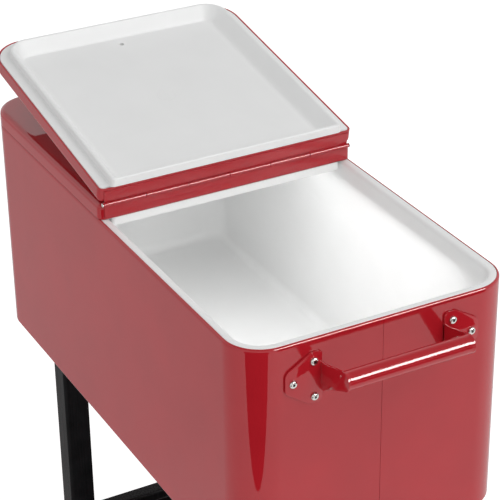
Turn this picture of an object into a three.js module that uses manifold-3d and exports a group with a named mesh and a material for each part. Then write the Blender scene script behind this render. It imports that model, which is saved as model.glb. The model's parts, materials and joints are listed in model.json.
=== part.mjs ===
// A patio cooler on wheels: an insulated steel tub with two half lids that fold about one piano hinge, a push
// handle on each end, and a four-legged stand with a shelf on swivel casters.
// Millimetres, +Z up. The origin is on the ground under the middle of the tub. +X points to the right-hand end
// and -Y to the front. The right lid is drawn folded back on the left one.

import * as THREE from "three";
import { mergeVertices } from "three/addons/utils/BufferGeometryUtils.js";
import Module from "manifold-3d";

// ---- Driving dimensions ----

// Tub
const tubLength = 802;
const tubWidth = 390;
const tubHeight = 335;
const tubCornerRadius = 52;
const rimAboveGround = 808;
const sheet = 1.2; // painted steel sheet
const rolledEdge = 3; // radius of the sheet's rolled top edge
const bottomEdge = 3; // radius of the sheet's turned bottom edge
const seamGap = 0.5; // between the two wraps, on each end
const innerDepth = 290; // from the rim down to the tub's floor
const rimWidth = 13.4; // white rim, from the rolled edge to the inner wall
const linerWall = 3;
const linerDraft = 2; // how far each inner wall leans in by the floor
const linerFloorRound = 14;
const fillLineDepth = 86; // moulded step in the inner wall, below the rim
const fillLineStep = 0.8;

// Lids
const lidHeight = 22.6;
const lidSeatGap = 0.8; // dark line between the lid's skirt and the rim
const lidTopRound = 8;
const lidHingeCorner = 9; // plan radius of the corners beside the hinge
const lidSeam = 2.2; // from the hinge's plane to each skirt
const plugDepth = 12.6; // how far the white plug reaches into the tub
const plugClearance = 2; // to the tub's inner wall
const plugRidge = 4; // width of the ridge around the plug
const plugCornerRound = 5;
const panelRise = 10; // the flat white panel, above the plug's flange
const panelSlope = 19; // level width of the slope from ridge to panel
const panelEndSlope = 12; // the same at the lid's outer end
const panelCorner = 12;

// Lid knobs
const knobHeight = 29;
const knobRadius = 14;
const knobFootRadius = 11;
const knobNeckRadius = 6;
const knobTopRadius = 8; // flat top, which the other knob rests on
const knobFromHinge = 350;
const knobScrewRadius = 2.5;
const knobScrewHead = 4.5;
const screwAccessRadius = 5.5;

// Piano hinge
const hingeOverLid = 0.6; // hinge axis above the lids' tops
const pinRadius = 1.6;
const knuckleRadius = 3;
const knuckles = 6;
const knucklePitch = 63.5;
const knuckleGap = 0.6;
const leafThickness = 1.2;
const leafHeight = 20.4;
const leafLength = 376;

// End handles
const barRadius = 12.2;
const barWall = 1.5;
const barReach = 56; // bar axis from the end wall
const barDrop = 33; // bar axis below the rim
const armSpacing = 174.8; // between the two brackets' arms
const bracketPlate = 2.6;
const bracketScrewHead = 5.2;
const bracketScrewShank = 2.4;
const weepHole = 2.5;

// Stand
const legSize = 40;
const legWall = 1.6;
const legCorner = 4;
const legSpacingX = 562; // between leg centres
const legSpacingY = 283;
const railHeight = 25;
const railWidth = 25;
const railWall = 1.5;
const lowerRailTop = 136;
const shelfDepth = 16; // shelf floor below the rails' top
const shelfSheet = 1.5;

// Casters
const wheelRadius = 37.5;
const wheelWidth = 24;
const crownHeight = 20; // mounting face above the wheel's top
const casterHeight = 2 * wheelRadius + crownHeight;
const casterTrail = 22;
const forkSheet = 2.5;
const cheekGap = 1.3; // wheel to fork cheek
const axleRadius = 4;
const stemRadius = 5.5;
const stemCollar = 15;
const stemLength = 36;

// Drain
const drainX = -180;
const drainBore = 8;
const drainWall = 3.6;
const drainFlange = 22;
const drainReach = 26; // below the tub
const drainCapWall = 3;
const drainCapHeight = 20;

// Clearances
const gap = 0.3; // between pieces that touch
const run = 0.3; // radial, between a pin and its bore

// ---- Places that follow from them ----

const floorZ = rimAboveGround - innerDepth;
const tubBottom = rimAboveGround - tubHeight;
const skirtZ = rimAboveGround + lidSeatGap;
const lidTop = skirtZ + lidHeight;
const hingeZ = lidTop + hingeOverLid;
const wallInset = rolledEdge + rimWidth; // inner wall at the rim, in from the tub's side
const plugInset = wallInset + plugClearance;
const legTop = tubBottom - gap;
const endWall = tubLength / 2;
// The folded lid comes to rest with the two knobs' tops against each other.
const restGap = 0.15;
const foldAngle = Math.PI - 2 * Math.atan(
  (knobHeight + restGap - hingeOverLid) / (knobFromHinge - knobTopRadius),
);

// ---- Finishes ----

const finish = (color, roughness, metalness) => new THREE.MeshStandardMaterial({ color, roughness, metalness });
const redPaint = finish(0xa01c26, 0.22, 0.1);
const whitePlastic = finish(0xf1f2f1, 0.42, 0);
const blackPaint = finish(0x17181a, 0.3, 0.2);
const chrome = finish(0xd8dadc, 0.12, 1);
const zinc = finish(0xb4b6b8, 0.35, 1);
const blackRubber = finish(0x1c1c1e, 0.8, 0);
const greyPlastic = finish(0x2b2c2e, 0.5, 0);
const foam = finish(0xe9e2c4, 0.9, 0);

// ---- Solids ----

const wasm = await Module();
wasm.setup();

// A closed three.js geometry as a solid that can be joined and cut.
function solid(geometry) {
  geometry.deleteAttribute("normal");
  geometry.deleteAttribute("uv");
  const welded = mergeVertices(geometry, 1e-4);
  return new wasm.Manifold(new wasm.Mesh({
    numProp: 3,
    vertProperties: welded.getAttribute("position").array,
    triVerts: new Uint32Array(welded.getIndex().array),
  }));
}

const join = (...solids) => solids.reduce((all, next) => all.add(next));
const cut = (body, ...tools) => tools.reduce((left, tool) => left.subtract(tool), body);

function geometryOf(body) {
  const { vertProperties, triVerts } = body.getMesh();
  const geometry = new THREE.BufferGeometry();
  geometry.setAttribute("position", new THREE.BufferAttribute(vertProperties, 3));
  geometry.setIndex(new THREE.BufferAttribute(triVerts, 1));
  geometry.computeVertexNormals();
  return geometry;
}

function piece(name, body, material) {
  const mesh = new THREE.Mesh(geometryOf(body), material);
  mesh.name = name;
  return mesh;
}

// A plan is a rectangle with round corners: `left` is the radius at x0 and `right` the radius at x1.
const plan = (x0, x1, y0, y1, left, right = left) => ({ x0, x1, y0, y1, left, right });

const inset = ({ x0, x1, y0, y1, left, right }, by) => (
  plan(x0 + by, x1 - by, y0 + by, y1 - by, left - by, right - by)
);

const cornerSteps = 3; // each round corner gets twice as many facets

function outline({ x0, x1, y0, y1, left, right }) {
  const shape = new THREE.Shape();
  shape.absarc(x1 - right, y0 + right, right, -Math.PI / 2, 0, false);
  shape.absarc(x1 - right, y1 - right, right, 0, Math.PI / 2, false);
  shape.absarc(x0 + left, y1 - left, left, Math.PI / 2, Math.PI, false);
  shape.absarc(x0 + left, y0 + left, left, Math.PI, Math.PI * 1.5, false);
  shape.closePath();
  return shape;
}

// The corner of a plan that a point belongs to: its centre and radius.
function cornerOf(shape, atRight, atBack) {
  const radius = atRight ? shape.right : shape.left;
  return {
    x: atRight ? shape.x1 - radius : shape.x0 + radius,
    y: atBack ? shape.y1 - radius : shape.y0 + radius,
    radius,
  };
}

// A solid through plans at rising heights: rings is a list of [height, plan].
function loft(rings, steps = cornerSteps) {
  const base = rings[0][1];
  const geometry = new THREE.ExtrudeGeometry(outline(base), {
    depth: rings.length - 1,
    steps: rings.length - 1,
    bevelEnabled: false,
    curveSegments: steps,
  });
  const position = geometry.getAttribute("position");
  for (let i = 0; i < position.count; i += 1) {
    const x = position.getX(i);
    const y = position.getY(i);
    const [height, here] = rings[Math.round(position.getZ(i))];
    const atRight = x > (base.x0 + base.x1) / 2;
    const atBack = y > (base.y0 + base.y1) / 2;
    const from = cornerOf(base, atRight, atBack);
    const to = cornerOf(here, atRight, atBack);
    const scale = to.radius / from.radius;
    position.setXYZ(i, to.x + (x - from.x) * scale, to.y + (y - from.y) * scale, height);
  }
  return solid(geometry);
}

const edgeSteps = 2;
const quarter = Array.from({ length: edgeSteps + 1 }, (_, i) => ((i / edgeSteps) * Math.PI) / 2);

// An upright solid on a plan, with its lower and upper edges rounded.
function upright(shape, low, high, lowRound = 0, highRound = 0, steps = cornerSteps) {
  const bottom = lowRound
    ? quarter.map((t) => [low + lowRound * (1 - Math.cos(t)), inset(shape, lowRound * (1 - Math.sin(t)))])
    : [[low, shape]];
  const top = highRound
    ? quarter.map((t) => [high - highRound * (1 - Math.sin(t)), inset(shape, highRound * (1 - Math.cos(t)))])
    : [[high, shape]];
  return loft([...bottom, ...top], steps);
}

function box(x0, x1, y0, y1, z0, z1) {
  const geometry = new THREE.BoxGeometry(x1 - x0, y1 - y0, z1 - z0);
  geometry.translate((x0 + x1) / 2, (y0 + y1) / 2, (z0 + z1) / 2);
  return solid(geometry);
}

// A round bar from one height to another along the axis named, at two cross coordinates.
function rod(axis, radius, low, high, [a, b], sides = 12) {
  const geometry = new THREE.CylinderGeometry(radius, radius, high - low, sides);
  const middle = (low + high) / 2;
  if (axis === "x") {
    geometry.rotateZ(-Math.PI / 2);
    geometry.translate(middle, a, b);
  } else if (axis === "y") {
    geometry.translate(a, middle, b);
  } else {
    geometry.rotateX(Math.PI / 2);
    geometry.translate(a, b, middle);
  }
  return solid(geometry);
}

// A turned solid about Z: profile is a list of [radius, height] that rises from the axis back to the axis.
function turned(profile, sides = 12) {
  const geometry = new THREE.LatheGeometry(profile.map(([r, z]) => new THREE.Vector2(r, z)), sides);
  geometry.rotateX(Math.PI / 2);
  return solid(geometry);
}

// A flat plate: an outline in (x, z), thick from y0 to y1.
function plateXZ(shape, y0, y1, curveSegments = 3) {
  const geometry = new THREE.ExtrudeGeometry(shape, { depth: y1 - y0, bevelEnabled: false, curveSegments });
  geometry.rotateX(Math.PI / 2);
  geometry.translate(0, y1, 0);
  return solid(geometry);
}

// A flat plate: an outline in (y, z), thick from x0 to x1.
function plateYZ(shape, x0, x1, curveSegments = 3) {
  const geometry = new THREE.ExtrudeGeometry(shape, { depth: x1 - x0, bevelEnabled: false, curveSegments });
  geometry.rotateX(Math.PI / 2);
  geometry.rotateZ(Math.PI / 2);
  geometry.translate(x0, 0, 0);
  return solid(geometry);
}

// ---- End handles: bracket layout, shared by the handle, its screws and the wraps' holes ----

// Screw places on a bracket: outwards from the arm, and below the rim.
const bracketScrews = [[12, 30], [41, 54], [11, 80]];
const armHalf = armSpacing / 2;
const screwPlaces = [-1, 1].flatMap((side) => (
  bracketScrews.map(([out, drop]) => ({ y: side * (armHalf + out), z: rimAboveGround - drop }))
));

// ---- Tub ----

const tubPlan = plan(-tubLength / 2, tubLength / 2, -tubWidth / 2, tubWidth / 2, tubCornerRadius);

// One bent sheet around half of the tub, with its edges rolled in and holes for both handles' screws.
function wrap() {
  const outer = upright(tubPlan, tubBottom, rimAboveGround, bottomEdge, rolledEdge);
  const inner = upright(
    inset(tubPlan, sheet),
    tubBottom + sheet,
    rimAboveGround - sheet,
    bottomEdge - sheet,
    rolledEdge - sheet,
  );
  const mouth = upright(inset(tubPlan, rolledEdge), rimAboveGround - rolledEdge, rimAboveGround + 1);
  const base = upright(inset(tubPlan, bottomEdge + sheet), tubBottom - 1, tubBottom + bottomEdge);
  const frontHalf = box(-tubLength, tubLength, -tubWidth, -seamGap / 2, 0, 2 * rimAboveGround);
  const holes = screwPlaces
    .filter(({ y }) => y < 0)
    .flatMap(({ y, z }) => [-1, 1].map((end) => (
      rod("x", bracketScrewShank + gap, end * endWall - 2 * rolledEdge, end * endWall + rolledEdge, [y, z], 8)
    )));
  return cut(cut(outer, inner, mouth, base).intersect(frontHalf), ...holes);
}

function drainHole(radius) {
  return rod("z", radius, tubBottom - 1, floorZ + 1, [drainX, 0]);
}

const spoutRadius = drainBore + drainWall;

function basePan() {
  const panPlan = inset(tubPlan, bottomEdge + sheet + gap);
  const flange = 14;
  const shell = cut(
    upright(panPlan, tubBottom, tubBottom + flange),
    upright(inset(panPlan, sheet), tubBottom + sheet, tubBottom + flange + 1),
  );
  return cut(shell, drainHole(spoutRadius + gap));
}

// Inner wall of the tub: how far it stands in from the tub's side at a height.
const wallAt = (z) => wallInset + (linerDraft * (rimAboveGround - z)) / innerDepth;

function cavity() {
  const floorInset = wallAt(floorZ);
  const fillLine = rimAboveGround - fillLineDepth;
  const lip = 3;
  return loft([
    ...quarter.map((t) => [
      floorZ + linerFloorRound * (1 - Math.cos(t)),
      inset(tubPlan, floorInset + linerFloorRound * (1 - Math.sin(t))),
    ]),
    [fillLine - fillLineStep, inset(tubPlan, wallAt(fillLine))],
    [fillLine, inset(tubPlan, wallAt(fillLine) - fillLineStep)],
    ...quarter.map((t) => [
      rimAboveGround - lip * (1 - Math.sin(t)),
      inset(tubPlan, wallInset - fillLineStep - lip * (1 - Math.cos(t))),
    ]),
    [rimAboveGround + 1, inset(tubPlan, wallInset - fillLineStep - lip)],
  ]);
}

const flangeInset = rolledEdge + gap;

function liner() {
  const below = floorZ - linerWall;
  const bodyRound = linerFloorRound + linerWall;
  const bottomInset = wallAt(floorZ) - linerWall;
  const body = loft([
    ...quarter.map((t) => [
      below + bodyRound * (1 - Math.cos(t)),
      inset(tubPlan, bottomInset + bodyRound * (1 - Math.sin(t))),
    ]),
    [rimAboveGround - 1, inset(tubPlan, wallInset - fillLineStep - linerWall)],
  ]);
  const rim = upright(inset(tubPlan, flangeInset), rimAboveGround - linerWall, rimAboveGround, 0, 1);
  return cut(join(body, rim), cavity(), drainHole(spoutRadius + gap));
}

function tubFoam() {
  const below = floorZ - linerWall - gap;
  const round = linerFloorRound + linerWall;
  const outside = upright(
    inset(tubPlan, bottomEdge + 2 * sheet + 2 * gap),
    tubBottom + sheet + gap,
    rimAboveGround - linerWall - gap,
  );
  const inside = loft([
    ...quarter.map((t) => [
      below + round * (1 - Math.cos(t)),
      inset(tubPlan, wallAt(floorZ) - linerWall - gap + round * (1 - Math.sin(t))),
    ]),
    [rimAboveGround, inset(tubPlan, wallInset - fillLineStep - linerWall - gap)],
  ]);
  return cut(outside, inside, drainHole(spoutRadius + gap));
}

function drainSpout() {
  const flangeTop = floorZ + gap + 2;
  const body = join(
    rod("z", spoutRadius, tubBottom - drainReach, flangeTop, [drainX, 0]),
    rod("z", drainFlange, floorZ + gap, flangeTop, [drainX, 0]),
  );
  return cut(body, rod("z", drainBore, tubBottom - drainReach - 1, flangeTop + 1, [drainX, 0]));
}

function drainCap() {
  const top = tubBottom - drainReach + drainCapHeight - 2 * drainCapWall;
  const bottom = top - drainCapHeight;
  const inner = spoutRadius + run;
  return cut(
    rod("z", inner + drainCapWall, bottom, top, [drainX, 0], 16),
    rod("z", inner, tubBottom - drainReach - gap, top + 1, [drainX, 0]),
  );
}

const tub = new THREE.Group();
const wrapFront = piece("wrap_front", wrap(), redPaint);
const wrapBack = piece("wrap_back", wrap(), redPaint);
wrapBack.rotation.z = Math.PI;
tub.add(
  wrapFront,
  wrapBack,
  piece("base_pan", basePan(), redPaint),
  piece("liner", liner(), whitePlastic),
  piece("tub_foam", tubFoam(), foam),
  piece("drain_spout", drainSpout(), whitePlastic),
  piece("drain_cap", drainCap(), whitePlastic),
);

// ---- Lids, drawn closed about the hinge axis: x outwards from it, z above it ----

const lidPlan = plan(lidSeam, endWall, -tubWidth / 2, tubWidth / 2, lidHingeCorner, tubCornerRadius);
const skirtBottom = skirtZ - hingeZ;
const lidRoof = lidTop - hingeZ;
const flangeZ = rimAboveGround + gap - hingeZ;

const screwBore = (radius, low, high) => rod("z", radius, low, high, [knobFromHinge, 0], 10);

function lidShell() {
  const outer = upright(lidPlan, skirtBottom, lidRoof, 0, lidTopRound);
  const inner = upright(inset(lidPlan, sheet), skirtBottom - 1, lidRoof - sheet, 0, lidTopRound - sheet);
  return cut(outer, inner, screwBore(knobScrewRadius + gap, skirtBottom, lidRoof + 1));
}

// The white inside of a lid with its foam: a flange that rests on the rim, a plug with a ridge around it, and a
// sunk panel. At the hinge the plug is flush with the skirt.
function lidInner() {
  const backed = upright(
    inset(lidPlan, sheet + gap),
    flangeZ,
    lidRoof - sheet - gap,
    0,
    lidTopRound - sheet - gap,
  );
  const plugPlan = plan(
    lidSeam,
    endWall - plugInset,
    -tubWidth / 2 + plugInset,
    tubWidth / 2 - plugInset,
    plugCornerRound,
    tubCornerRadius - plugInset,
  );
  const plugRound = 2;
  const plug = upright(plugPlan, flangeZ - plugDepth, flangeZ, plugRound);
  const ridge = inset(plugPlan, plugRidge);
  const panelPlan = plan(
    ridge.x0 + panelSlope,
    ridge.x1 - panelEndSlope,
    ridge.y0 + panelSlope,
    ridge.y1 - panelSlope,
    panelCorner,
  );
  const hollow = loft([
    [flangeZ - plugDepth - 1, ridge],
    [flangeZ - plugDepth, ridge],
    [flangeZ + panelRise, panelPlan],
  ]);
  const access = screwBore(screwAccessRadius, flangeZ, lidRoof);
  return cut(join(backed, plug), hollow, access);
}

const leafOuter = lidSeam - gap; // leaf face against the skirt
const leafFoot = -leafHeight;

function hingeLeaf() {
  const half = leafLength / 2;
  const plate = box(leafOuter - leafThickness, leafOuter, -half, half, leafFoot, 0);
  const clear = knuckleRadius + run;
  const span = (knuckles * knucklePitch) / 2;
  const own = [];
  const others = [];
  for (let i = 0; i < knuckles; i += 1) {
    const start = -span + i * knucklePitch;
    const end = start + knucklePitch;
    if (i % 2) {
      own.push(rod("y", knuckleRadius, start + knuckleGap / 2, end - knuckleGap / 2, [0, 0], 12));
    } else {
      others.push(rod("y", clear, start - knuckleGap / 2, end + knuckleGap / 2, [0, 0], 12));
      others.push(box(0, leafOuter + 1, start - knuckleGap / 2, end + knuckleGap / 2, -1.5, 1));
    }
  }
  const bore = rod("y", pinRadius + run, -span - 1, span + 1, [0, 0], 12);
  return cut(join(cut(plate, ...others), ...own), bore);
}

function hingePin() {
  const span = (knuckles * knucklePitch) / 2;
  const headRadius = 2.8;
  const headLength = 1.6;
  const heads = [-1, 1].map((end) => {
    const near = end * (span + gap);
    const far = end * (span + gap + headLength);
    return rod("y", headRadius, Math.min(near, far), Math.max(near, far), [0, 0], 12);
  });
  return join(rod("y", pinRadius, -span - gap - 1, span + gap + 1, [0, 0], 12), ...heads);
}

function knob() {
  const foot = lidRoof + gap;
  const top = lidRoof + knobHeight;
  const body = turned([
    [0, foot],
    [knobFootRadius, foot],
    [knobFootRadius, foot + 2],
    [knobNeckRadius, foot + 6],
    [knobNeckRadius, foot + 14],
    [knobRadius - 2, top - 9],
    [knobRadius, top - 6],
    [knobRadius - 1, top - 3],
    [knobTopRadius, top],
    [0, top],
  ], 16).translate([knobFromHinge, 0, 0]);
  return cut(body, screwBore(knobScrewRadius + gap, foot - 1, foot + 12));
}

function knobScrew() {
  const headTop = lidRoof - sheet - gap;
  return join(
    screwBore(knobScrewHead, headTop - 3, headTop),
    screwBore(knobScrewRadius, headTop - 1, lidRoof + gap + 10),
  );
}

function lid(side) {
  const group = new THREE.Group();
  group.add(
    piece(`${side}_lid_shell`, lidShell(), redPaint),
    piece(`${side}_lid_inner`, lidInner(), whitePlastic),
    piece(`${side}_lid_knob`, knob(), chrome),
    piece(`${side}_lid_knob_screw`, knobScrew(), zinc),
    piece(`${side}_hinge_leaf`, hingeLeaf(), redPaint),
  );
  return group;
}

const lids = new THREE.Group();
lids.position.z = hingeZ;
const leftLid = lid("left");
leftLid.rotation.z = Math.PI;
const rightLid = lid("right");
rightLid.rotation.y = -foldAngle;
lids.add(leftLid, rightLid, piece("hinge_pin", hingePin(), chrome));

// ---- End handles, drawn on the right-hand end ----

const plateBack = endWall + gap;
const plateFace = plateBack + bracketPlate;
const barX = endWall + barReach;
const barZ = rimAboveGround - barDrop;

// One bracket: a plate on the wall, and an arm folded out from its inner edge to the bar.
function bracket(side) {
  const at = (out, drop) => [side * (armHalf + out), rimAboveGround - drop];
  const tip = 3.5;
  const plate = new THREE.Shape();
  plate.moveTo(...at(0, 20.5));
  plate.lineTo(...at(tip, 18));
  plate.lineTo(...at(14, 17.3));
  plate.lineTo(...at(18, 18.5));
  plate.lineTo(...at(48, 36.5));
  plate.lineTo(...at(51.5, 42.5));
  plate.lineTo(...at(51.5, 63.5));
  plate.lineTo(...at(49, 67.5));
  plate.lineTo(...at(20, 87.5));
  plate.lineTo(...at(15, 89));
  plate.lineTo(...at(4, 89));
  plate.lineTo(...at(0, 85.5));
  plate.closePath();
  const arm = new THREE.Shape();
  const round = barRadius + 0.6;
  arm.moveTo(plateBack, rimAboveGround - 33.5);
  arm.lineTo(endWall + 12, rimAboveGround - 32.5);
  arm.absarc(barX, barZ, round, Math.PI * 0.62, -Math.PI * 0.42, true);
  arm.lineTo(endWall + 28, rimAboveGround - 60.5);
  arm.lineTo(endWall + 8, rimAboveGround - 72.5);
  arm.lineTo(plateBack, rimAboveGround - 72.5);
  arm.closePath();
  const inner = side * armHalf;
  const outer = side * (armHalf + bracketPlate);
  return join(
    plateYZ(plate, plateBack, plateFace),
    plateXZ(arm, Math.min(inner, outer), Math.max(inner, outer), 4),
  );
}

function handle() {
  const overlap = bracketPlate / 2;
  const bar = rod("y", barRadius, -armHalf - overlap, armHalf + overlap, [barX, barZ], 16);
  const hollow = rod("y", barRadius - barWall, -armHalf + barWall, armHalf - barWall, [barX, barZ], 16);
  const weep = rod("z", weepHole, barZ - 2 * barRadius, barZ, [barX, 0], 8);
  const holes = screwPlaces.map(({ y, z }) => (
    rod("x", bracketScrewShank + gap, plateBack - 1, plateFace + 1, [y, z], 8)
  ));
  return cut(join(bracket(-1), bracket(1), bar), hollow, weep, ...holes);
}

// A button-head screw with a hex socket, drawn with its head's underside at x = 0.
function bracketScrew() {
  const shankLength = gap + bracketPlate + gap + sheet;
  const headHeight = 3;
  const socketRadius = 1.9;
  const socketDepth = 1.8;
  const head = turned([
    [0, 0],
    [bracketScrewHead, 0],
    [bracketScrewHead, 0.8],
    [bracketScrewHead * 0.6, headHeight],
    [0, headHeight],
  ]);
  const socket = rod("z", socketRadius, headHeight - socketDepth, headHeight + 1, [0, 0], 6);
  const shank = rod("z", bracketScrewShank, -shankLength, 0.5, [0, 0], 8);
  return cut(join(head, shank), socket).rotate([0, 90, 0]);
}

function endHandle(side) {
  const group = new THREE.Group();
  group.add(piece(`${side}_handle`, handle(), redPaint));
  screwPlaces.forEach(({ y, z }, i) => {
    const screw = piece(`${side}_handle_screw_${i + 1}`, bracketScrew(), chrome);
    screw.position.set(plateFace + gap, y, z);
    group.add(screw);
  });
  return group;
}

const rightHandle = endHandle("right");
const leftHandle = endHandle("left");
leftHandle.rotation.z = Math.PI;

// ---- Stand ----

const corners = [
  ["front_left", -1, -1],
  ["front_right", 1, -1],
  ["back_left", -1, 1],
  ["back_right", 1, 1],
];
const square = (size, corner) => plan(-size / 2, size / 2, -size / 2, size / 2, corner);

// A square tube closed at its foot by a plate that the caster's stem goes through.
function leg() {
  const footPlate = 3;
  const outer = upright(square(legSize, legCorner), casterHeight, legTop, 0, 0, 1);
  const inner = upright(
    square(legSize - 2 * legWall, legCorner - legWall),
    casterHeight + footPlate,
    legTop + 1,
    0,
    0,
    1,
  );
  return cut(outer, inner, rod("z", stemRadius + run, casterHeight - 1, casterHeight + 2 * footPlate, [0, 0]));
}

// An end rail between two legs, a rectangular tube open at both ends.
function endRail(top) {
  const half = (legSpacingY - legSize) / 2 - gap;
  return cut(
    box(-railWidth / 2, railWidth / 2, -half, half, top - railHeight, top),
    box(
      -railWidth / 2 + railWall,
      railWidth / 2 - railWall,
      -half - 1,
      half + 1,
      top - railHeight + railWall,
      top - railWall,
    ),
  );
}

// A tray between the lower rails, its edges turned up.
function shelf() {
  const halfX = (legSpacingX - railWidth) / 2 - gap;
  const halfY = (legSpacingY - legSize) / 2 - gap;
  const low = lowerRailTop - shelfDepth - shelfSheet;
  const tray = plan(-halfX, halfX, -halfY, halfY, 6);
  return cut(
    upright(tray, low, lowerRailTop - 2, 0, 0, 1),
    upright(inset(tray, shelfSheet), low + shelfSheet, lowerRailTop, 0, 0, 1),
  );
}

const stand = new THREE.Group();
for (const [name, right, back] of corners) {
  const post = piece(`${name}_leg`, leg(), blackPaint);
  post.position.set((right * legSpacingX) / 2, (back * legSpacingY) / 2, 0);
  stand.add(post);
}
for (const [name, right] of [["left", -1], ["right", 1]]) {
  const lower = piece(`${name}_lower_rail`, endRail(lowerRailTop), blackPaint);
  const upper = piece(`${name}_upper_rail`, endRail(legTop), blackPaint);
  lower.position.x = (right * legSpacingX) / 2;
  upper.position.x = (right * legSpacingX) / 2;
  stand.add(lower, upper);
}
stand.add(piece("lower_shelf", shelf(), blackPaint));

// ---- Casters, drawn about the stem's axis with the wheel trailing towards -X ----

const collarThickness = 3;
const collarTop = casterHeight - gap;
const cupTop = collarTop - collarThickness - gap;
const cupHeight = 8;
const cupRadius = 20;
const forkTop = cupTop - cupHeight;
const rivetHead = 8;
const rivetHeight = 2.5;
const cheekInner = wheelWidth / 2 + cheekGap;
const cheekOuter = cheekInner + forkSheet;

function casterStem() {
  const rivetTop = forkTop - forkSheet - gap;
  return turned([
    [0, rivetTop - rivetHeight],
    [rivetHead, rivetTop - rivetHeight],
    [rivetHead, rivetTop],
    [stemRadius, rivetTop],
    [stemRadius, collarTop - collarThickness],
    [stemCollar, collarTop - collarThickness],
    [stemCollar, collarTop],
    [stemRadius, collarTop],
    [stemRadius, collarTop + stemLength],
    [0, collarTop + stemLength],
  ]);
}

// The pedal's pivot, behind and above the wheel.
const pivot = { x: -casterTrail - 11, z: wheelRadius * 2 + 9 };
const trunnionRadius = 2.5;

function casterFork() {
  const cup = rod("z", cupRadius, forkTop - 0.5, cupTop, [0, 0], 16);
  const crown = box(pivot.x + 6, cupRadius - 2, -cheekOuter, cheekOuter, forkTop - forkSheet, forkTop);
  const cheek = new THREE.Shape();
  cheek.moveTo(cupRadius - 2, forkTop);
  cheek.lineTo(cupRadius - 2, forkTop - 7);
  cheek.lineTo(-casterTrail + 10, wheelRadius - 4);
  cheek.absarc(-casterTrail, wheelRadius, 10, -Math.PI * 0.12, -Math.PI * 0.9, true);
  cheek.lineTo(pivot.x - 6, pivot.z - 6);
  cheek.lineTo(pivot.x - 6, pivot.z + 3);
  cheek.lineTo(pivot.x - 3, pivot.z + 5.5);
  cheek.lineTo(pivot.x + 6, pivot.z + 5.5);
  cheek.lineTo(pivot.x + 9, forkTop);
  cheek.closePath();
  const body = join(
    cup,
    crown,
    plateXZ(cheek, -cheekOuter, -cheekInner),
    plateXZ(cheek, cheekInner, cheekOuter),
  );
  return cut(
    body,
    rod("z", stemRadius + run, forkTop - 2 * forkSheet, cupTop + 1, [0, 0]),
    rod("y", axleRadius + gap, -cheekOuter - 1, cheekOuter + 1, [-casterTrail, wheelRadius]),
    rod("y", trunnionRadius + run, -cheekOuter - 1, cheekOuter + 1, [pivot.x, pivot.z], 8),
  );
}

// A wheel about its own axle, which lies along Y at the origin.
function casterWheel() {
  const half = wheelWidth / 2;
  const rimRadius = wheelRadius - 10;
  const recess = 3;
  const tyreRound = 4;
  const profile = [
    [0, -half + recess],
    [rimRadius, -half + recess],
    [rimRadius, -half],
    [wheelRadius - tyreRound, -half],
    [wheelRadius, -half + 1.5 * tyreRound],
  ];
  const other = profile.map(([r, y]) => [r, -y]).reverse();
  const body = turned([...profile, ...other], 24);
  return cut(body, rod("z", axleRadius + run, -half - 1, half + 1, [0, 0])).rotate([90, 0, 0]);
}

function casterAxle() {
  const headRadius = 7;
  const headThickness = 4;
  const face = cheekOuter + gap;
  const place = [-casterTrail, wheelRadius];
  return join(
    rod("y", axleRadius, -face - 1, face + headThickness + 1.5, place),
    rod("y", headRadius, -face - headThickness, -face, place, 6),
    rod("y", headRadius, face, face + headThickness, place, 6),
  );
}

function brakePedal() {
  const half = cheekInner - 0.8;
  const side = new THREE.Shape();
  const at = (back, up) => [pivot.x - back, pivot.z + up];
  side.moveTo(...at(-4, 3.5));
  side.lineTo(...at(-4, -2));
  side.lineTo(...at(5, -4));
  side.lineTo(...at(7.5, -11.2));
  side.lineTo(...at(11, -11.2));
  side.lineTo(...at(13, -3));
  side.lineTo(...at(38, 1));
  side.lineTo(...at(42, 4.5));
  side.lineTo(...at(41, 6.5));
  side.lineTo(...at(12, 3.5));
  side.closePath();
  return join(
    plateXZ(side, -half, half),
    rod("y", trunnionRadius, -cheekOuter, cheekOuter, [pivot.x, pivot.z], 8),
  );
}

const brakedCorners = ["front_left", "front_right"];
const casters = new THREE.Group();
for (const [name, right, back] of corners) {
  const caster = new THREE.Group();
  caster.position.set((right * legSpacingX) / 2, (back * legSpacingY) / 2, 0);
  const wheel = piece(`${name}_wheel`, casterWheel(), blackRubber);
  wheel.position.set(-casterTrail, 0, wheelRadius);
  caster.add(
    piece(`${name}_caster_stem`, casterStem(), zinc),
    piece(`${name}_caster_fork`, casterFork(), zinc),
    wheel,
    piece(`${name}_caster_axle`, casterAxle(), zinc),
  );
  if (brakedCorners.includes(name)) {
    caster.add(piece(`${name}_brake_pedal`, brakePedal(), greyPlastic));
  }
  casters.add(caster);
}

// ---- The whole cooler ----

const cooler = new THREE.Group();
cooler.add(tub, lids, rightHandle, leftHandle, stand, casters);

export default cooler;
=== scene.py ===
import json
import math
from collections import namedtuple

import bmesh
import bpy
from mathutils import Matrix, Vector


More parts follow.
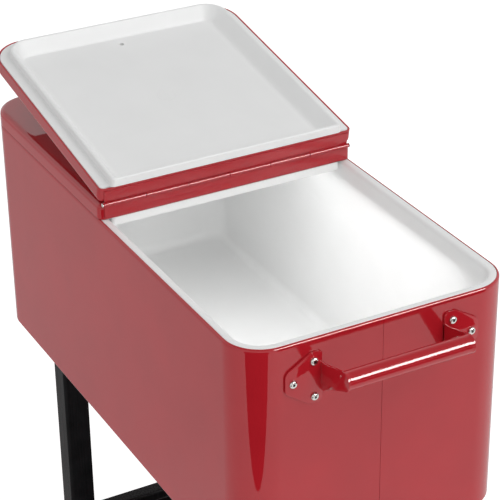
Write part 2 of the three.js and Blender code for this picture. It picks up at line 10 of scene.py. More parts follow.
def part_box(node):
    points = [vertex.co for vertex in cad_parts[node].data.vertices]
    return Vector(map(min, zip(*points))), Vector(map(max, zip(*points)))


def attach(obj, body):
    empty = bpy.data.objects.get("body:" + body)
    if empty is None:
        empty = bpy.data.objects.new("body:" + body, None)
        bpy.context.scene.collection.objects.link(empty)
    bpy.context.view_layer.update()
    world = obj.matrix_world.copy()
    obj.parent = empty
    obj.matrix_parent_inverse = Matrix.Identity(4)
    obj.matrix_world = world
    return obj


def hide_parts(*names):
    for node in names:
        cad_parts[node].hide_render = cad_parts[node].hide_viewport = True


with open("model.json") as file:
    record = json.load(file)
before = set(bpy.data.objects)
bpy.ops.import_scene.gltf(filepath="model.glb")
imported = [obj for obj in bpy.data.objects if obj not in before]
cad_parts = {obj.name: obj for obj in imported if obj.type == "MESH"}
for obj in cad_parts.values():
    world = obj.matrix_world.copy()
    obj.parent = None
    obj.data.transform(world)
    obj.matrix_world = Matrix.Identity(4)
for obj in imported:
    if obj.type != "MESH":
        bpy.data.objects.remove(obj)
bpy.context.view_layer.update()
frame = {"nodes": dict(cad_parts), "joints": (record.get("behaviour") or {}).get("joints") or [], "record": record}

bl_info = {
    "name": "Patio Cooler",
    "version": (1, 0, 0),
    "blender": (4, 5, 0),
    "location": "3D View > Sidebar > Cooler",
    "description": "Builds the fine surfaces of a patio cooler on casters around its packed frame",
    "category": "Add Mesh",
}

# ---- Sizes in metres. Places come from the frame's boxes. ----

MM = 0.001
TUB_CORNER = 52 * MM
LID_HINGE_CORNER = 9 * MM
RIM_WIDTH = 13.4 * MM
LINER_WALL = 3 * MM
LINER_DRAFT = 2 * MM
FLOOR_ROUND = 14 * MM
FILL_LINE_DEPTH = 86 * MM
FILL_LINE_STEP = 0.8 * MM
LIP_ROUND = 6 * MM
PLUG_DEPTH = 12.6 * MM
PLUG_CLEARANCE = 2 * MM
PLUG_RIDGE = 4 * MM
PLUG_HINGE_CORNER = 5 * MM
PANEL_RISE = 10 * MM
PANEL_SLOPE = 19 * MM
PANEL_END_SLOPE = 12 * MM
PANEL_CORNER = 12 * MM
SCREW_ACCESS = 3.4 * MM
HEM_WIDTH = 3 * MM
KNOB_HEIGHT = 29 * MM
KNOB_FROM_HINGE = 350 * MM
KNOB_BORE = 2.8 * MM
KNUCKLE_COUNT = 6
KNUCKLE_PITCH = 63.5 * MM
KNUCKLE_RADIUS = 3 * MM
KNUCKLE_GAP = 0.9 * MM
LEAF_THICKNESS = 1.2 * MM
LEAF_HEIGHT = 20.4 * MM
LEAF_LENGTH = 376 * MM
PIN_RADIUS = 1.6 * MM
BRACKET_PLATE = 2.6 * MM
BRACKET_SCREWS = ((12 * MM, 30 * MM), (41 * MM, 54 * MM), (11 * MM, 80 * MM))
BAR_RADIUS = 12.2 * MM
BAR_REACH = 56 * MM
BAR_DROP = 33 * MM
ARM_HALF = 87.4 * MM
LEG_WALL = 1.6 * MM
RAIL_WALL = 1.5 * MM
SHELF_SHEET = 1.5 * MM
WHEEL_RADIUS = 37.5 * MM
WHEEL_WIDTH = 24 * MM
CASTER_TRAIL = 22 * MM
CHEEK_INNER = 13.3 * MM
FORK_SHEET = 2.5 * MM
STEM_RADIUS = 5.5 * MM
STEM_HOLE = 5.8 * MM
DRAIN_PLACE = (-180 * MM, 0)
DRAIN_BORE = 8 * MM
DRAIN_WALL = 3.6 * MM
GAP = 0.3 * MM
DRAIN_HOLE = DRAIN_BORE + DRAIN_WALL + GAP
SMOOTH_ANGLE = math.radians(32)


def low(node):
    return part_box(node)[0]


def high(node):
    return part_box(node)[1]


TUB_X = high("wrap_front").x
TUB_Y = high("wrap_back").y
TUB_BOTTOM = low("wrap_front").z
RIM_Z = high("liner").z
SKIRT_Z = low("left_lid_shell").z
LID_TOP = high("left_lid_shell").z
LID_SEAM = -high("left_lid_shell").x
JOINTS = {joint["name"]: joint for joint in frame["joints"]}
HINGE_Z = JOINTS["right_lid_fold"]["pos_m"][2]
FOLD = math.radians(-JOINTS["right_lid_fold"]["range_deg"][0])
CORNERS = ("front_left", "front_right", "back_left", "back_right")
SIDES = ("left", "right")

LEFT_LID_PLACE = Matrix.Translation((0, 0, HINGE_Z)) @ Matrix.Rotation(math.pi, 4, "Z")
RIGHT_LID_PLACE = Matrix.Translation((0, 0, HINGE_Z)) @ Matrix.Rotation(-FOLD, 4, "Y")
LID_PLACES = {"left": LEFT_LID_PLACE, "right": RIGHT_LID_PLACE}
END_PLACES = {"left": Matrix.Rotation(math.pi, 4, "Z"), "right": Matrix()}

# Places for a shape that is drawn in X and Y, with its depth along Z.
DEPTH_ALONG_Y = Matrix(((1, 0, 0, 0), (0, 0, 1, 0), (0, 1, 0, 0), (0, 0, 0, 1)))
DEPTH_ALONG_X = Matrix(((0, 0, 1, 0), (1, 0, 0, 0), (0, 1, 0, 0), (0, 0, 0, 1)))

# Places for a shape that is turned about Z.
AXIS_ALONG_Y = Matrix.Rotation(-math.pi / 2, 4, "X")
AXIS_AGAINST_Y = Matrix.Rotation(math.pi / 2, 4, "X")


# ---- Plans: a rectangle with round corners, with one radius at its low X and one at its high X ----

Plan = namedtuple("Plan", "x0 x1 y0 y1 left right")
SMALLEST_CORNER = 0.3 * MM


def inset(plan, by):
    return Plan(
        plan.x0 + by,
        plan.x1 - by,
        plan.y0 + by,
        plan.y1 - by,
        max(plan.left - by, SMALLEST_CORNER),
        max(plan.right - by, SMALLEST_CORNER),
    )


def between(a, b, t):
    return Plan(*(p + (q - p) * t for p, q in zip(a, b)))


def square(width, depth, corner):
    return Plan(-width / 2, width / 2, -depth / 2, depth / 2, corner, corner)


TUB_PLAN = Plan(-TUB_X, TUB_X, -TUB_Y, TUB_Y, TUB_CORNER, TUB_CORNER)
LID_PLAN = Plan(LID_SEAM, TUB_X, -TUB_Y, TUB_Y, LID_HINGE_CORNER, TUB_CORNER)


def quarter(steps=5):
    """Angles from 0 to a quarter turn."""
    return [math.pi / 2 * i / steps for i in range(steps + 1)]


def round_top(plan, z, radius, steps=5):
    """Stations that rise up a side and round its upper edge, which ends flat at z."""
    return [(z - radius * (1 - math.sin(t)), inset(plan, radius * (1 - math.cos(t)))) for t in quarter(steps)]


def round_foot(plan, z, radius, steps=5):
    """Stations that leave a flat foot at z and round its edge up into a side."""
    return [(z + radius * (1 - math.cos(t)), inset(plan, radius * (1 - math.sin(t)))) for t in quarter(steps)]


# ---- Mesh work ----


def place_ring(ring, plan, z, steps, margin):
    """Moves a ring of vertices onto a plan. Each corner has two more vertices beside its arc, on the straight
    sides, so that flat sides stay flat in the light."""
    corners = (
        (plan.x1, plan.y1, 1, 1, plan.right),
        (plan.x0, plan.y1, -1, 1, plan.left),
        (plan.x0, plan.y0, -1, -1, plan.left),
        (plan.x1, plan.y0, 1, -1, plan.right),
    )
    count = steps + 3
    for corner, (x, y, sx, sy, radius) in enumerate(corners):
        centre = Vector((x - sx * radius, y - sy * radius, z))
        start = corner * math.pi / 2
        for i in range(count):
            angle = start + math.pi / 2 * min(max(i - 1, 0), steps) / steps
            tangent = Vector((-math.sin(angle), math.cos(angle), 0))
            beyond = {0: -margin, count - 1: margin}.get(i, 0)
            spoke = Vector((math.cos(angle), math.sin(angle), 0))
            ring[corner * count + i].co = centre + radius * spoke + beyond * tangent


def ring_edges(bm, ring):
    return [bm.edges.get(pair) for pair in zip(ring, ring[1:] + ring[:1])]


def grow(bm, ring):
    """Extrudes a ring of vertices and returns the new ring in the same order."""
    made = bmesh.ops.extrude_edge_only(bm, edges=ring_edges(bm, ring))["geom"]
    fresh = {v for v in made if isinstance(v, bmesh.types.BMVert)}
    return [next(e.other_vert(v) for e in v.link_edges if e.other_vert(v) in fresh) for v in ring]


def circle(bm, radius, z, centre=(0, 0), segments=24):
    """A ring of vertices on a circle."""
    place = Matrix.Translation((*centre, z))
    made = bmesh.ops.create_circle(bm, cap_ends=False, radius=radius, segments=segments, matrix=place)
    return made["verts"]


def cap(bm, ring, *holes):
    """Closes a ring with a flat face, or with a flat sheet around holes."""
    edges = ring_edges(bm, ring)
    if not holes:
        bmesh.ops.contextual_create(bm, geom=edges)
        return
    for hole in holes:
        edges += ring_edges(bm, hole)
    bmesh.ops.triangle_fill(bm, edges=edges, use_beauty=True)


def join_rings(bm, first, last):
    bmesh.ops.bridge_loops(bm, edges=ring_edges(bm, first) + ring_edges(bm, last))


def loft(stations, steps=14, margin=1.5 * MM):
    """An open skin through plans at given heights. Returns the mesh with its first and last rings."""
    bm = bmesh.new()
    first = circle(bm, 1, 0, segments=4 * (steps + 3))
    place_ring(first, stations[0][1], stations[0][0], steps, margin)
    ring = first
    for z, plan in stations[1:]:
        ring = grow(bm, ring)
        place_ring(ring, plan, z, steps, margin)
    return bm, first, ring


def block(stations, steps=14, margin=1.5 * MM):
    """A loft closed by flat caps."""
    bm, first, last = loft(stations, steps, margin)
    cap(bm, first)
    cap(bm, last)
    return bm


def pipe(stations, steps=14, margin=1.5 * MM):
    """A loft whose last ring joins its first, so that its walls are hollow."""
    bm, first, last = loft(stations, steps, margin)
    join_rings(bm, first, last)
    return bm


def bored(stations, radius, centre=(0, 0), steps=14, margin=1.5 * MM, segments=24):
    """A loft closed by flat caps with one round hole through both."""
    bm, first, last = loft(stations, steps, margin)
    rims = [circle(bm, radius, z, centre, segments) for z in (stations[0][0], stations[-1][0])]
    cap(bm, first, rims[0])
    cap(bm, last, rims[1])
    join_rings(bm, *rims)
    return bm


def tower(profile, segments=32, bore=False):
    """A turned shape about Z through (radius, height) pairs. With a bore the last ring joins the first."""
    bm = bmesh.new()
    first = circle(bm, profile[0][0], profile[0][1], segments=segments)
    ring = first
    for radius, z in profile[1:]:
        ring = grow(bm, ring)
        for i, vertex in enumerate(ring):
            angle = math.tau * i / segments
            vertex.co = (radius * -math.sin(angle), radius * math.cos(angle), z)
    if bore:
        join_rings(bm, first, ring)
    else:
        cap(bm, first)
        cap(bm, ring)
    return bm


def fillet(r0, z0, r1, z1, outward=True, steps=4):
    """Points of a quarter arc between two points of a profile, bulging away from the axis or towards it."""
    points = []
    for t in quarter(steps):
        a, b = (math.cos(t), math.sin(t)) if outward else (1 - math.sin(t), 1 - math.cos(t))
        points.append((r1 + (r0 - r1) * a, z0 + (z1 - z0) * b))
    return points


def above(z, *points):
    """Points of a profile, each a radius and a height above z in millimetres."""
    return [(radius * MM, z + up * MM) for radius, up in points]


def prism(outline, near, far, rounding=0.0, edge=0.4 * MM, place=DEPTH_ALONG_Y, segments=4):
    """A flat plate on an outline, thick from near to far, with round corners and eased edges."""
    bm = bmesh.new()
    corners = [bm.verts.new((x, y, near)) for x, y in outline]
    for pair in zip(corners, corners[1:] + corners[:1]):
        bm.edges.new(pair)
    bmesh.ops.contextual_create(bm, geom=bm.edges[:])
    if rounding:
        bmesh.ops.bevel(
            bm,
            geom=bm.verts[:],
            offset=rounding,
            segments=segments,
            profile=0.5,
            affect="VERTICES",
            material=-1,
        )
    made = bmesh.ops.extrude_face_region(bm, geom=bm.faces[:])["geom"]
    moved = [v for v in made if isinstance(v, bmesh.types.BMVert)]
    bmesh.ops.translate(bm, vec=(0, 0, far - near), verts=moved)
    rims = [e for e in bm.edges if abs(e.verts[0].co.z - e.verts[1].co.z) < 1e-7]
    bmesh.ops.bevel(bm, geom=rims, offset=edge, segments=2, profile=0.5, affect="EDGES", material=-1)
    bmesh.ops.transform(bm, matrix=place, verts=bm.verts)
    return bm


def gather(*parts):
    """Collects shapes, each a mesh or a mesh with its place, in one mesh."""
    whole = bmesh.new()
    for part in parts:
        bm, place = part if isinstance(part, tuple) else (part, Matrix())
        mesh = bpy.data.meshes.new("part")
        bm.to_mesh(mesh)
        bm.free()
        mesh.transform(place)
        whole.from_mesh(mesh)
        bpy.data.meshes.remove(mesh)
    return whole


def copies(bm, places):
    """The same shape at several places, each a closed body in one mesh."""
    return gather(*((bm.copy(), place) for place in places))


def finish(node, bm, slot, body, place=Matrix(), painted_shade_slot=None):
    """Turns a mesh into the finished piece that stands for a node of the frame and rides on its body."""
    bmesh.ops.remove_doubles(bm, verts=bm.verts, dist=1e-6)
    bmesh.ops.recalc_face_normals(bm, faces=bm.faces)
    mesh = bpy.data.meshes.new(f"{node}_shape")
    bm.to_mesh(mesh)
    bm.free()
    mesh.transform(place)
    mesh.shade_smooth()
    mesh.set_sharp_from_angle(angle=SMOOTH_ANGLE)
    mesh.materials.append(material_for(slot))
    # A second slot paints part of a piece, such as the dark shade painted into a screw's socket.
    if painted_shade_slot:
        mesh.materials.append(material_for(painted_shade_slot))
    piece = bpy.data.objects.new(f"{node}_shape", mesh)
    bpy.context.scene.collection.objects.link(piece)
    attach(piece, body)
    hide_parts(node)
    return piece


# ---- Materials ----


class Finish:
    """A material under construction: its shader, and the object's own coordinates."""

    def __init__(self, name, **sockets):
        self.material = bpy.data.materials.new(name)
        self.material.use_nodes = True
        self.nodes = self.material.node_tree.nodes
        self.links = self.material.node_tree.links
        self.shader = self.nodes["Principled BSDF"]
        self.place = self.nodes.new("ShaderNodeTexCoord").outputs["Object"]
        for key, value in sockets.items():
            self.shader.inputs[key.replace("_", " ")].default_value = value

    def add(self, kind, inputs=(), **values):
        node = self.nodes.new(kind)
        for key, value in values.items():
            setattr(node, key, value)
        for key, value in dict(inputs).items():
            if isinstance(value, bpy.types.NodeSocket):
                self.links.new(value, node.inputs[key])
            else:
                node.inputs[key].default_value = value
        return node

    def stretched(self, scale):
        """The object's coordinates, drawn out along an axis."""
        return self.add("ShaderNodeMapping", {"Vector": self.place, "Scale": scale}).outputs["Vector"]

    def noise(self, scale, detail=2.0, roughness=0.5, place=None):
        node = self.add(
            "ShaderNodeTexNoise",
            {"Vector": place or self.place, "Scale": scale, "Detail": detail, "Roughness": roughness},
        )
        return node.outputs["Fac"]

    def ramp(self, value, stops):
        """A colour ramp through (position, colour) stops."""
        node = self.add("ShaderNodeValToRGB", {"Fac": value})
        elements = node.color_ramp.elements
        while len(elements) < len(stops):
            elements.new(0.5)
        for element, (position, color) in zip(elements, stops):
            element.position = position
            element.color = color
        return node.outputs["Color"]

    def range(self, value, low_value, high_value):
        node = self.add(
            "ShaderNodeMapRange", {"Value": value, "To Min": low_value, "To Max": high_value}
        )
        return node.outputs["Result"]

    def bump(self, height, strength, distance, normal=None):
        inputs = {"Height": height, "Strength": strength, "Distance": distance}
        if normal is not None:
            inputs["Normal"] = normal
        return self.add("ShaderNodeBump", inputs).outputs["Normal"]

    def set(self, name, value):
        self.links.new(value, self.shader.inputs[name])

    def mottled(self, pattern, color, dark, light, start=0.3, end=0.7):
        """Lets the colour follow a pattern, from a darker shade to a lighter one."""
        self.set("Base Color", self.ramp(pattern, [(start, shade(color, dark)), (end, shade(color, light))]))

    def rough(self, pattern, least, most):
        self.set("Roughness", self.range(pattern, least, most))

    def grain(self, pattern, strength, distance):
        self.set("Normal", self.bump(pattern, strength, distance))

    def cells(self, scale):
        inputs = {"Vector": self.place, "Scale": scale, "Randomness": 1.0}
        return self.add("ShaderNodeTexVoronoi", inputs).outputs["Distance"]


def shade(color, factor):
    """A colour made lighter or darker, with alpha."""
    return (*(min(1.0, c * factor) for c in color[:3]), 1.0)


def red_enamel(colors):
    """Baked gloss enamel on sheet steel: deep colour under a clear skin, with faint orange peel."""
    made = Finish("red_enamel", Roughness=0.5, Specular_IOR_Level=0.0, Coat_Weight=1.0, Coat_Roughness=0.02)
    made.mottled(made.noise(9.0, 3.0), colors.enamel, 0.94, 1.05)
    wave = made.bump(made.noise(7.0, 1.0), 0.04, 0.002)
    peel = made.bump(made.noise(520.0, 2.0), 0.02, 0.0002, wave)
    made.set("Coat Normal", peel)
    made.grain(made.noise(300.0, 3.0), 0.05, 0.0003)
    return made.material


def white_liner(colors):
    """Moulded plastic: white, with a soft sheen and the fine grain of its mould."""
    made = Finish("white_liner", Specular_IOR_Level=0.5)
    made.mottled(made.noise(14.0, 4.0), colors.plastic, 0.985, 1.01)
    made.rough(made.noise(60.0, 3.0), 0.5, 0.62)
    made.grain(made.noise(900.0, 2.0), 0.03, 0.0003)
    return made.material


def black_coat(colors):
    """Black paint on drawn tube, whose draw marks run along Z."""
    made = Finish("black_coat", Specular_IOR_Level=0.06)
    made.mottled(made.noise(30.0, 4.0), colors.stand, 0.5, 1.0)
    marks = made.noise(1.0, 4.0, 0.6, made.stretched((260.0, 260.0, 6.0)))
    made.rough(marks, 0.05, 0.5)
    made.grain(marks, 0.12, 0.0006)
    return made.material


def bright_chrome(colors):
    made = Finish("bright_chrome", Metallic=1.0)
    made.mottled(made.noise(120.0, 3.0), colors.chrome, 0.93, 1.05)
    made.rough(made.noise(400.0, 3.0), 0.08, 0.2)
    return made.material


def zinc_plate(colors):
    """Bright zinc over pressed steel, with its cloudy spangle."""
    made = Finish("zinc_plate", Metallic=1.0)
    made.mottled(made.cells(210.0), colors.zinc, 0.85, 1.1, 0.1, 0.9)
    made.rough(made.noise(160.0, 4.0), 0.24, 0.45)
    made.grain(made.noise(500.0, 3.0), 0.06, 0.0003)
    return made.material


def black_rubber(colors):
    made = Finish("black_rubber", Specular_IOR_Level=0.35)
    made.mottled(made.noise(160.0, 5.0), colors.rubber, 0.75, 1.5, end=0.75)
    made.rough(made.noise(90.0, 4.0), 0.6, 0.85)
    made.grain(made.noise(1400.0, 2.0), 0.15, 0.0003)
    return made.material


def dark_plastic(colors):
    made = Finish("dark_plastic", Specular_IOR_Level=0.45)
    made.mottled(made.noise(80.0, 4.0), colors.rubber, 1.3, 1.8)
    made.rough(made.noise(200.0, 3.0), 0.38, 0.55)
    made.grain(made.noise(1100.0, 2.0), 0.1, 0.0003)
    return made.material


def cell_foam(colors):
    made = Finish("cell_foam", Roughness=0.9)
    cells = made.cells(700.0)
    made.mottled(cells, colors.foam, 0.8, 1.05, 0.1, 0.8)
    made.grain(cells, 0.4, 0.0006)
    return made.material


MAKERS = {
    "red_paint": red_enamel,
    "white_plastic": white_liner,
    "black_paint": black_coat,
    "chrome": bright_chrome,
    "zinc_plate": zinc_plate,
    "caster_tread": black_rubber,
    "pedal_plastic": dark_plastic,
    "insulating_foam": cell_foam,
}


def material_for(slot):
    """The material for a slot of the record, made once."""
    maker = MAKERS[slot]
    found = bpy.data.materials.get(maker.__name__)
    return found or maker(bpy.context.scene.cooler_colors)


def color_property(name, description, default):
    return bpy.props.FloatVectorProperty(
        name=name, description=description, default=default, size=3, min=0, max=1, subtype="COLOR"
    )


class CoolerColors(bpy.types.PropertyGroup):
    enamel: color_property("Enamel", "Paint of the tub, lids and handles", (0.46, 0.0135, 0.022))
    plastic: color_property("Plastic", "Moulded liner and lid insides", (0.9, 0.903, 0.9))
    stand: color_property("Stand", "Paint of the legs, rails and shelf", (0.012, 0.012, 0.013))
    chrome: color_property("Chrome", "Hinge pin, knobs and handle screws", (0.62, 0.61, 0.585))
    zinc: color_property("Zinc", "Plated parts of the casters", (0.62, 0.63, 0.64))
    rubber: color_property("Rubber", "Caster treads and pedals", (0.02, 0.02, 0.021))
    foam: color_property("Foam", "Insulation", (0.8, 0.74, 0.52))


def level_property(name, description, default, unit="NONE"):
    return bpy.props.FloatProperty(name=name, description=description, default=default, min=0, unit=unit)


def length_property(name, description, default, least):
    return bpy.props.FloatProperty(
        name=name, description=description, default=default, min=least, unit="LENGTH"
    )


class CoolerStage(bpy.types.PropertyGroup):
    lens: bpy.props.FloatProperty(
        name="Lens", description="Focal length of the camera", default=135.03, min=20, unit="CAMERA"
    )
    surround: level_property("Surround", "Brightness of the white surround", 0.55)
    zenith: level_property("Zenith", "Brightness of reflections from high up", 0.4)
    softbox: level_property("Softbox", "Brightness of the softbox in reflections", 24.0)
    overhead: level_property("Overhead", "Power of the soft light from above", 30.0, "POWER")
    inside: level_property("Inside fill", "Power of the soft light into the open tub", 0.54, "POWER")


# ---- Pieces ----


class CoolerShape(bpy.types.PropertyGroup):
    sheet: length_property("Sheet", "Thickness of the painted steel", 1.2 * MM, 0.5 * MM)
    rim_roll: length_property("Rim roll", "Radius of the tub's rolled upper edge", 3 * MM, 2 * MM)
    lid_round: length_property("Lid round", "Radius of the lids' upper edges", 8 * MM, 2 * MM)
    seam: length_property("Seam", "Gap between the tub's two sheets", 0.5 * MM, 0.1 * MM)
    bar_segments: bpy.props.IntProperty(
        name="Bar segments", description="Facets around each handle's bar", default=48, min=12, max=128
    )


class COOLER_OT_tub_skin(bpy.types.Operator):
    """Build the two bent steel sheets around the tub"""

    bl_idname = "cooler.build_tub_skin"
    bl_label = "Tub skin"

    def execute(self, context):
        shape = context.scene.cooler_shape
        sheet = shape.sheet
        roll = shape.rim_roll
        outside = [
            *round_foot(TUB_PLAN, TUB_BOTTOM, roll),
            (TUB_BOTTOM + 2 * roll, TUB_PLAN),
            (RIM_Z - 2 * roll, TUB_PLAN),
            *round_top(TUB_PLAN, RIM_Z, roll),
        ]
        inner = inset(TUB_PLAN, sheet)
        inside = [
            *reversed(round_top(inner, RIM_Z - sheet, roll - sheet)),
            *reversed(round_foot(inner, TUB_BOTTOM + sheet, roll - sheet)),
        ]
        for node, side in (("wrap_front", -1), ("wrap_back", 1)):
            bm = pipe(outside + inside, steps=20)
            bmesh.ops.bisect_plane(
                bm,
                geom=bm.verts[:] + bm.edges[:] + bm.faces[:],
                plane_co=(0, side * shape.seam / 2, 0),
                plane_no=(0, -side, 0),
                clear_outer=True,
            )
            rims = [e for e in bm.edges if e.is_boundary]
            bmesh.ops.holes_fill(bm, edges=rims, sides=0)
            finish(node, bm, "red_paint", "root")
        return {"FINISHED"}


class COOLER_OT_tub_inside(bpy.types.Operator):
    """Build the white liner and the pan under the tub"""

    bl_idname = "cooler.build_tub_inside"
    bl_label = "Tub inside"

    def execute(self, context):
        self.liner(context.scene.cooler_shape)
        self.pan(context.scene.cooler_shape)
        return {"FINISHED"}

    def liner(self, shape):
        wall_inset = shape.rim_roll + RIM_WIDTH
        floor = low("liner").z + LINER_WALL
        depth = RIM_Z - floor
        fill_line = RIM_Z - FILL_LINE_DEPTH

        def wall(z):
            return wall_inset + LINER_DRAFT * (RIM_Z - z) / depth

        under = inset(TUB_PLAN, wall(floor) - LINER_WALL)
        upper = inset(TUB_PLAN, wall_inset - FILL_LINE_STEP - LINER_WALL)
        flange = inset(TUB_PLAN, shape.rim_roll + GAP)
        mouth = inset(TUB_PLAN, wall_inset - FILL_LINE_STEP)
        body_round = FLOOR_ROUND + LINER_WALL
        stations = [
            *round_foot(under, floor - LINER_WALL, body_round),
            (RIM_Z - 2 * LINER_WALL, upper),
            (RIM_Z - LINER_WALL, upper),
            (RIM_Z - LINER_WALL, inset(flange, 1 * MM)),
            (RIM_Z - LINER_WALL + 0.4 * MM, flange),
            (RIM_Z - 1.6 * MM, flange),
            *round_top(flange, RIM_Z, 1.2 * MM, 4),
            (RIM_Z, inset(flange, 3 * MM)),
            (RIM_Z, inset(mouth, -LIP_ROUND - 1.5 * MM)),
        ]
        stations += [
            (RIM_Z - LIP_ROUND * (1 - math.cos(t)), inset(mouth, -LIP_ROUND * (1 - math.sin(t))))
            for t in quarter(6)
        ]
        upper_wall = inset(TUB_PLAN, wall(fill_line) - FILL_LINE_STEP)
        lower_wall = inset(TUB_PLAN, wall(fill_line))
        stations += [
            (RIM_Z - LIP_ROUND - 3 * MM, inset(mouth, 0.02 * MM)),
            (fill_line + 4 * MM, upper_wall),
            (fill_line + 1.5 * MM, inset(upper_wall, 0.15 * FILL_LINE_STEP)),
            (fill_line - 1.5 * MM, inset(upper_wall, 0.5 * FILL_LINE_STEP)),
            (fill_line - 4.5 * MM, inset(upper_wall, 0.85 * FILL_LINE_STEP)),
            (fill_line - 7 * MM, inset(lower_wall, 0.02 * MM)),
            (floor + FLOOR_ROUND + 6 * MM, inset(TUB_PLAN, wall(floor + FLOOR_ROUND))),
        ]
        bottom = inset(TUB_PLAN, wall(floor))
        stations += reversed(round_foot(bottom, floor, FLOOR_ROUND, 8))
        stations.append((floor, inset(bottom, 2 * FLOOR_ROUND)))
        finish("liner", bored(stations, DRAIN_HOLE, DRAIN_PLACE, steps=18), "white_plastic", "root")

    def pan(self, shape):
        outer = inset(TUB_PLAN, shape.rim_roll + shape.sheet + GAP)
        inner = inset(outer, shape.sheet)
        top = high("base_pan").z
        bend = 3 * MM
        stations = [
            *round_foot(outer, TUB_BOTTOM, bend),
            (top - 0.3 * MM, outer),
            (top, inset(outer, 0.3 * MM)),
            (top, inset(outer, shape.sheet - 0.3 * MM)),
            (top - 0.3 * MM, inner),
            *reversed(round_foot(inner, TUB_BOTTOM + shape.sheet, bend - shape.sheet)),
        ]
        finish("base_pan", bored(stations, DRAIN_HOLE, DRAIN_PLACE), "red_paint", "root")


# Lids are drawn about the hinge's axis: X outwards from it and Z above it.
LID_ROOF = LID_TOP - HINGE_Z
LID_SKIRT = SKIRT_Z - HINGE_Z
LID_FLANGE = RIM_Z + GAP - HINGE_Z


class COOLER_OT_lids(bpy.types.Operator):
    """Build both lids: steel shell and moulded inside"""

    bl_idname = "cooler.build_lids"
    bl_label = "Lids"

    def execute(self, context):
        shape = context.scene.cooler_shape
        for side, place in LID_PLACES.items():
            finish(f"{side}_lid_shell", self.shell(shape), "red_paint", f"{side}_lid", place)
            finish(f"{side}_lid_inner", self.inside(shape), "white_plastic", f"{side}_lid", place)
        return {"FINISHED"}

    def shell(self, shape):
        sheet = shape.sheet
        bend = shape.lid_round
        inner = inset(LID_PLAN, sheet)
        hem = 0.35 * MM
        stations = [
            *reversed(round_top(inner, LID_ROOF - sheet, bend - sheet, 7)),
            (LID_SKIRT + 4.6 * MM, inner),
            (LID_SKIRT + 4 * MM, inset(LID_PLAN, HEM_WIDTH - hem)),
            (LID_SKIRT + 3.6 * MM, inset(LID_PLAN, HEM_WIDTH)),
            (LID_SKIRT + 0.8 * MM, inset(LID_PLAN, HEM_WIDTH)),
            (LID_SKIRT, inset(LID_PLAN, HEM_WIDTH - 0.8 * MM)),
            (LID_SKIRT, inset(LID_PLAN, hem)),
            (LID_SKIRT + hem, LID_PLAN),
            (LID_SKIRT + 2 * MM, LID_PLAN),
            (LID_ROOF - bend - 2 * MM, LID_PLAN),
            *round_top(LID_PLAN, LID_ROOF, bend, 8),
            (LID_ROOF, inset(LID_PLAN, bend + 3 * MM)),
        ]
        return bored(stations, KNOB_BORE, (KNOB_FROM_HINGE, 0), steps=18)

    def inside(self, shape):
        rim = shape.rim_roll + RIM_WIDTH + PLUG_CLEARANCE
        backed = inset(LID_PLAN, HEM_WIDTH + GAP)
        plug = Plan(
            LID_SEAM, TUB_X - rim, -TUB_Y + rim, TUB_Y - rim, PLUG_HINGE_CORNER, TUB_CORNER - rim
        )
        foot = plug._replace(
            x1=plug.x1 + MM, y0=plug.y0 - MM, y1=plug.y1 + MM, left=plug.left + MM, right=plug.right + MM
        )
        ridge = inset(plug, PLUG_RIDGE)
        panel = Plan(
            ridge.x0 + PANEL_SLOPE,
            ridge.x1 - PANEL_END_SLOPE,
            ridge.y0 + PANEL_SLOPE,
            ridge.y1 - PANEL_SLOPE,
            PANEL_CORNER,
            PANEL_CORNER,
        )
        crest = LID_FLANGE - PLUG_DEPTH
        sunk = LID_FLANGE + PANEL_RISE
        bend = shape.lid_round - HEM_WIDTH - GAP
        stations = [
            *reversed(round_top(backed, LID_ROOF - shape.sheet - GAP, bend, 3)),
            (LID_FLANGE + 1.0 * MM, backed),
            (LID_FLANGE + 0.3 * MM, inset(backed, 0.3 * MM)),
            (LID_FLANGE, inset(backed, 1.0 * MM)),
            (LID_FLANGE, inset(foot, -1.0 * MM)._replace(x0=foot.x0)),
            (LID_FLANGE - 0.3 * MM, foot),
            (LID_FLANGE - 1.2 * MM, plug),
            (crest + 3.5 * MM, plug),
            *reversed(round_foot(plug, crest, 1.8 * MM, 5)),
        ]
        # The slope from the ridge to the panel, easing in at the crest and out at the panel.
        easing = (0, 0.04, 0.1, 0.2, 0.4, 0.65, 0.8, 0.9, 1)
        level = (0, 0.012, 0.06, 0.17, 0.4, 0.7, 0.87, 0.96, 1)
        for t, rise in zip(easing, level):
            stations.append((crest + (sunk - crest) * rise, between(inset(ridge, -0.4 * MM), panel, t)))
        stations.append((sunk, inset(panel, 3 * MM)))
        bm, first, last = loft(stations, steps=18)
        rims = [circle(bm, SCREW_ACCESS, z, (KNOB_FROM_HINGE, 0)) for z in (stations[0][0], stations[-1][0])]
        middle = ((panel.x0 + panel.x1) / 2, 0)
        gate = circle(bm, 16 * MM, sunk, middle, 48)
        cap(bm, first, rims[0])
        cap(bm, last, rims[1], gate)
        join_rings(bm, *rims)
        for radius, z in ((14.2, 0), (13.8, 0.16), (13.0, 0.16), (12.6, 0), (11, 0)):
            ring = grow(bm, gate)
            for vertex, before in zip(ring, gate):
                spoke = Vector((before.co.x - middle[0], before.co.y, 0)).normalized()
                vertex.co = Vector((*middle, sunk - z * MM)) + radius * MM * spoke
            gate = ring
        cap(bm, gate)
        return bm


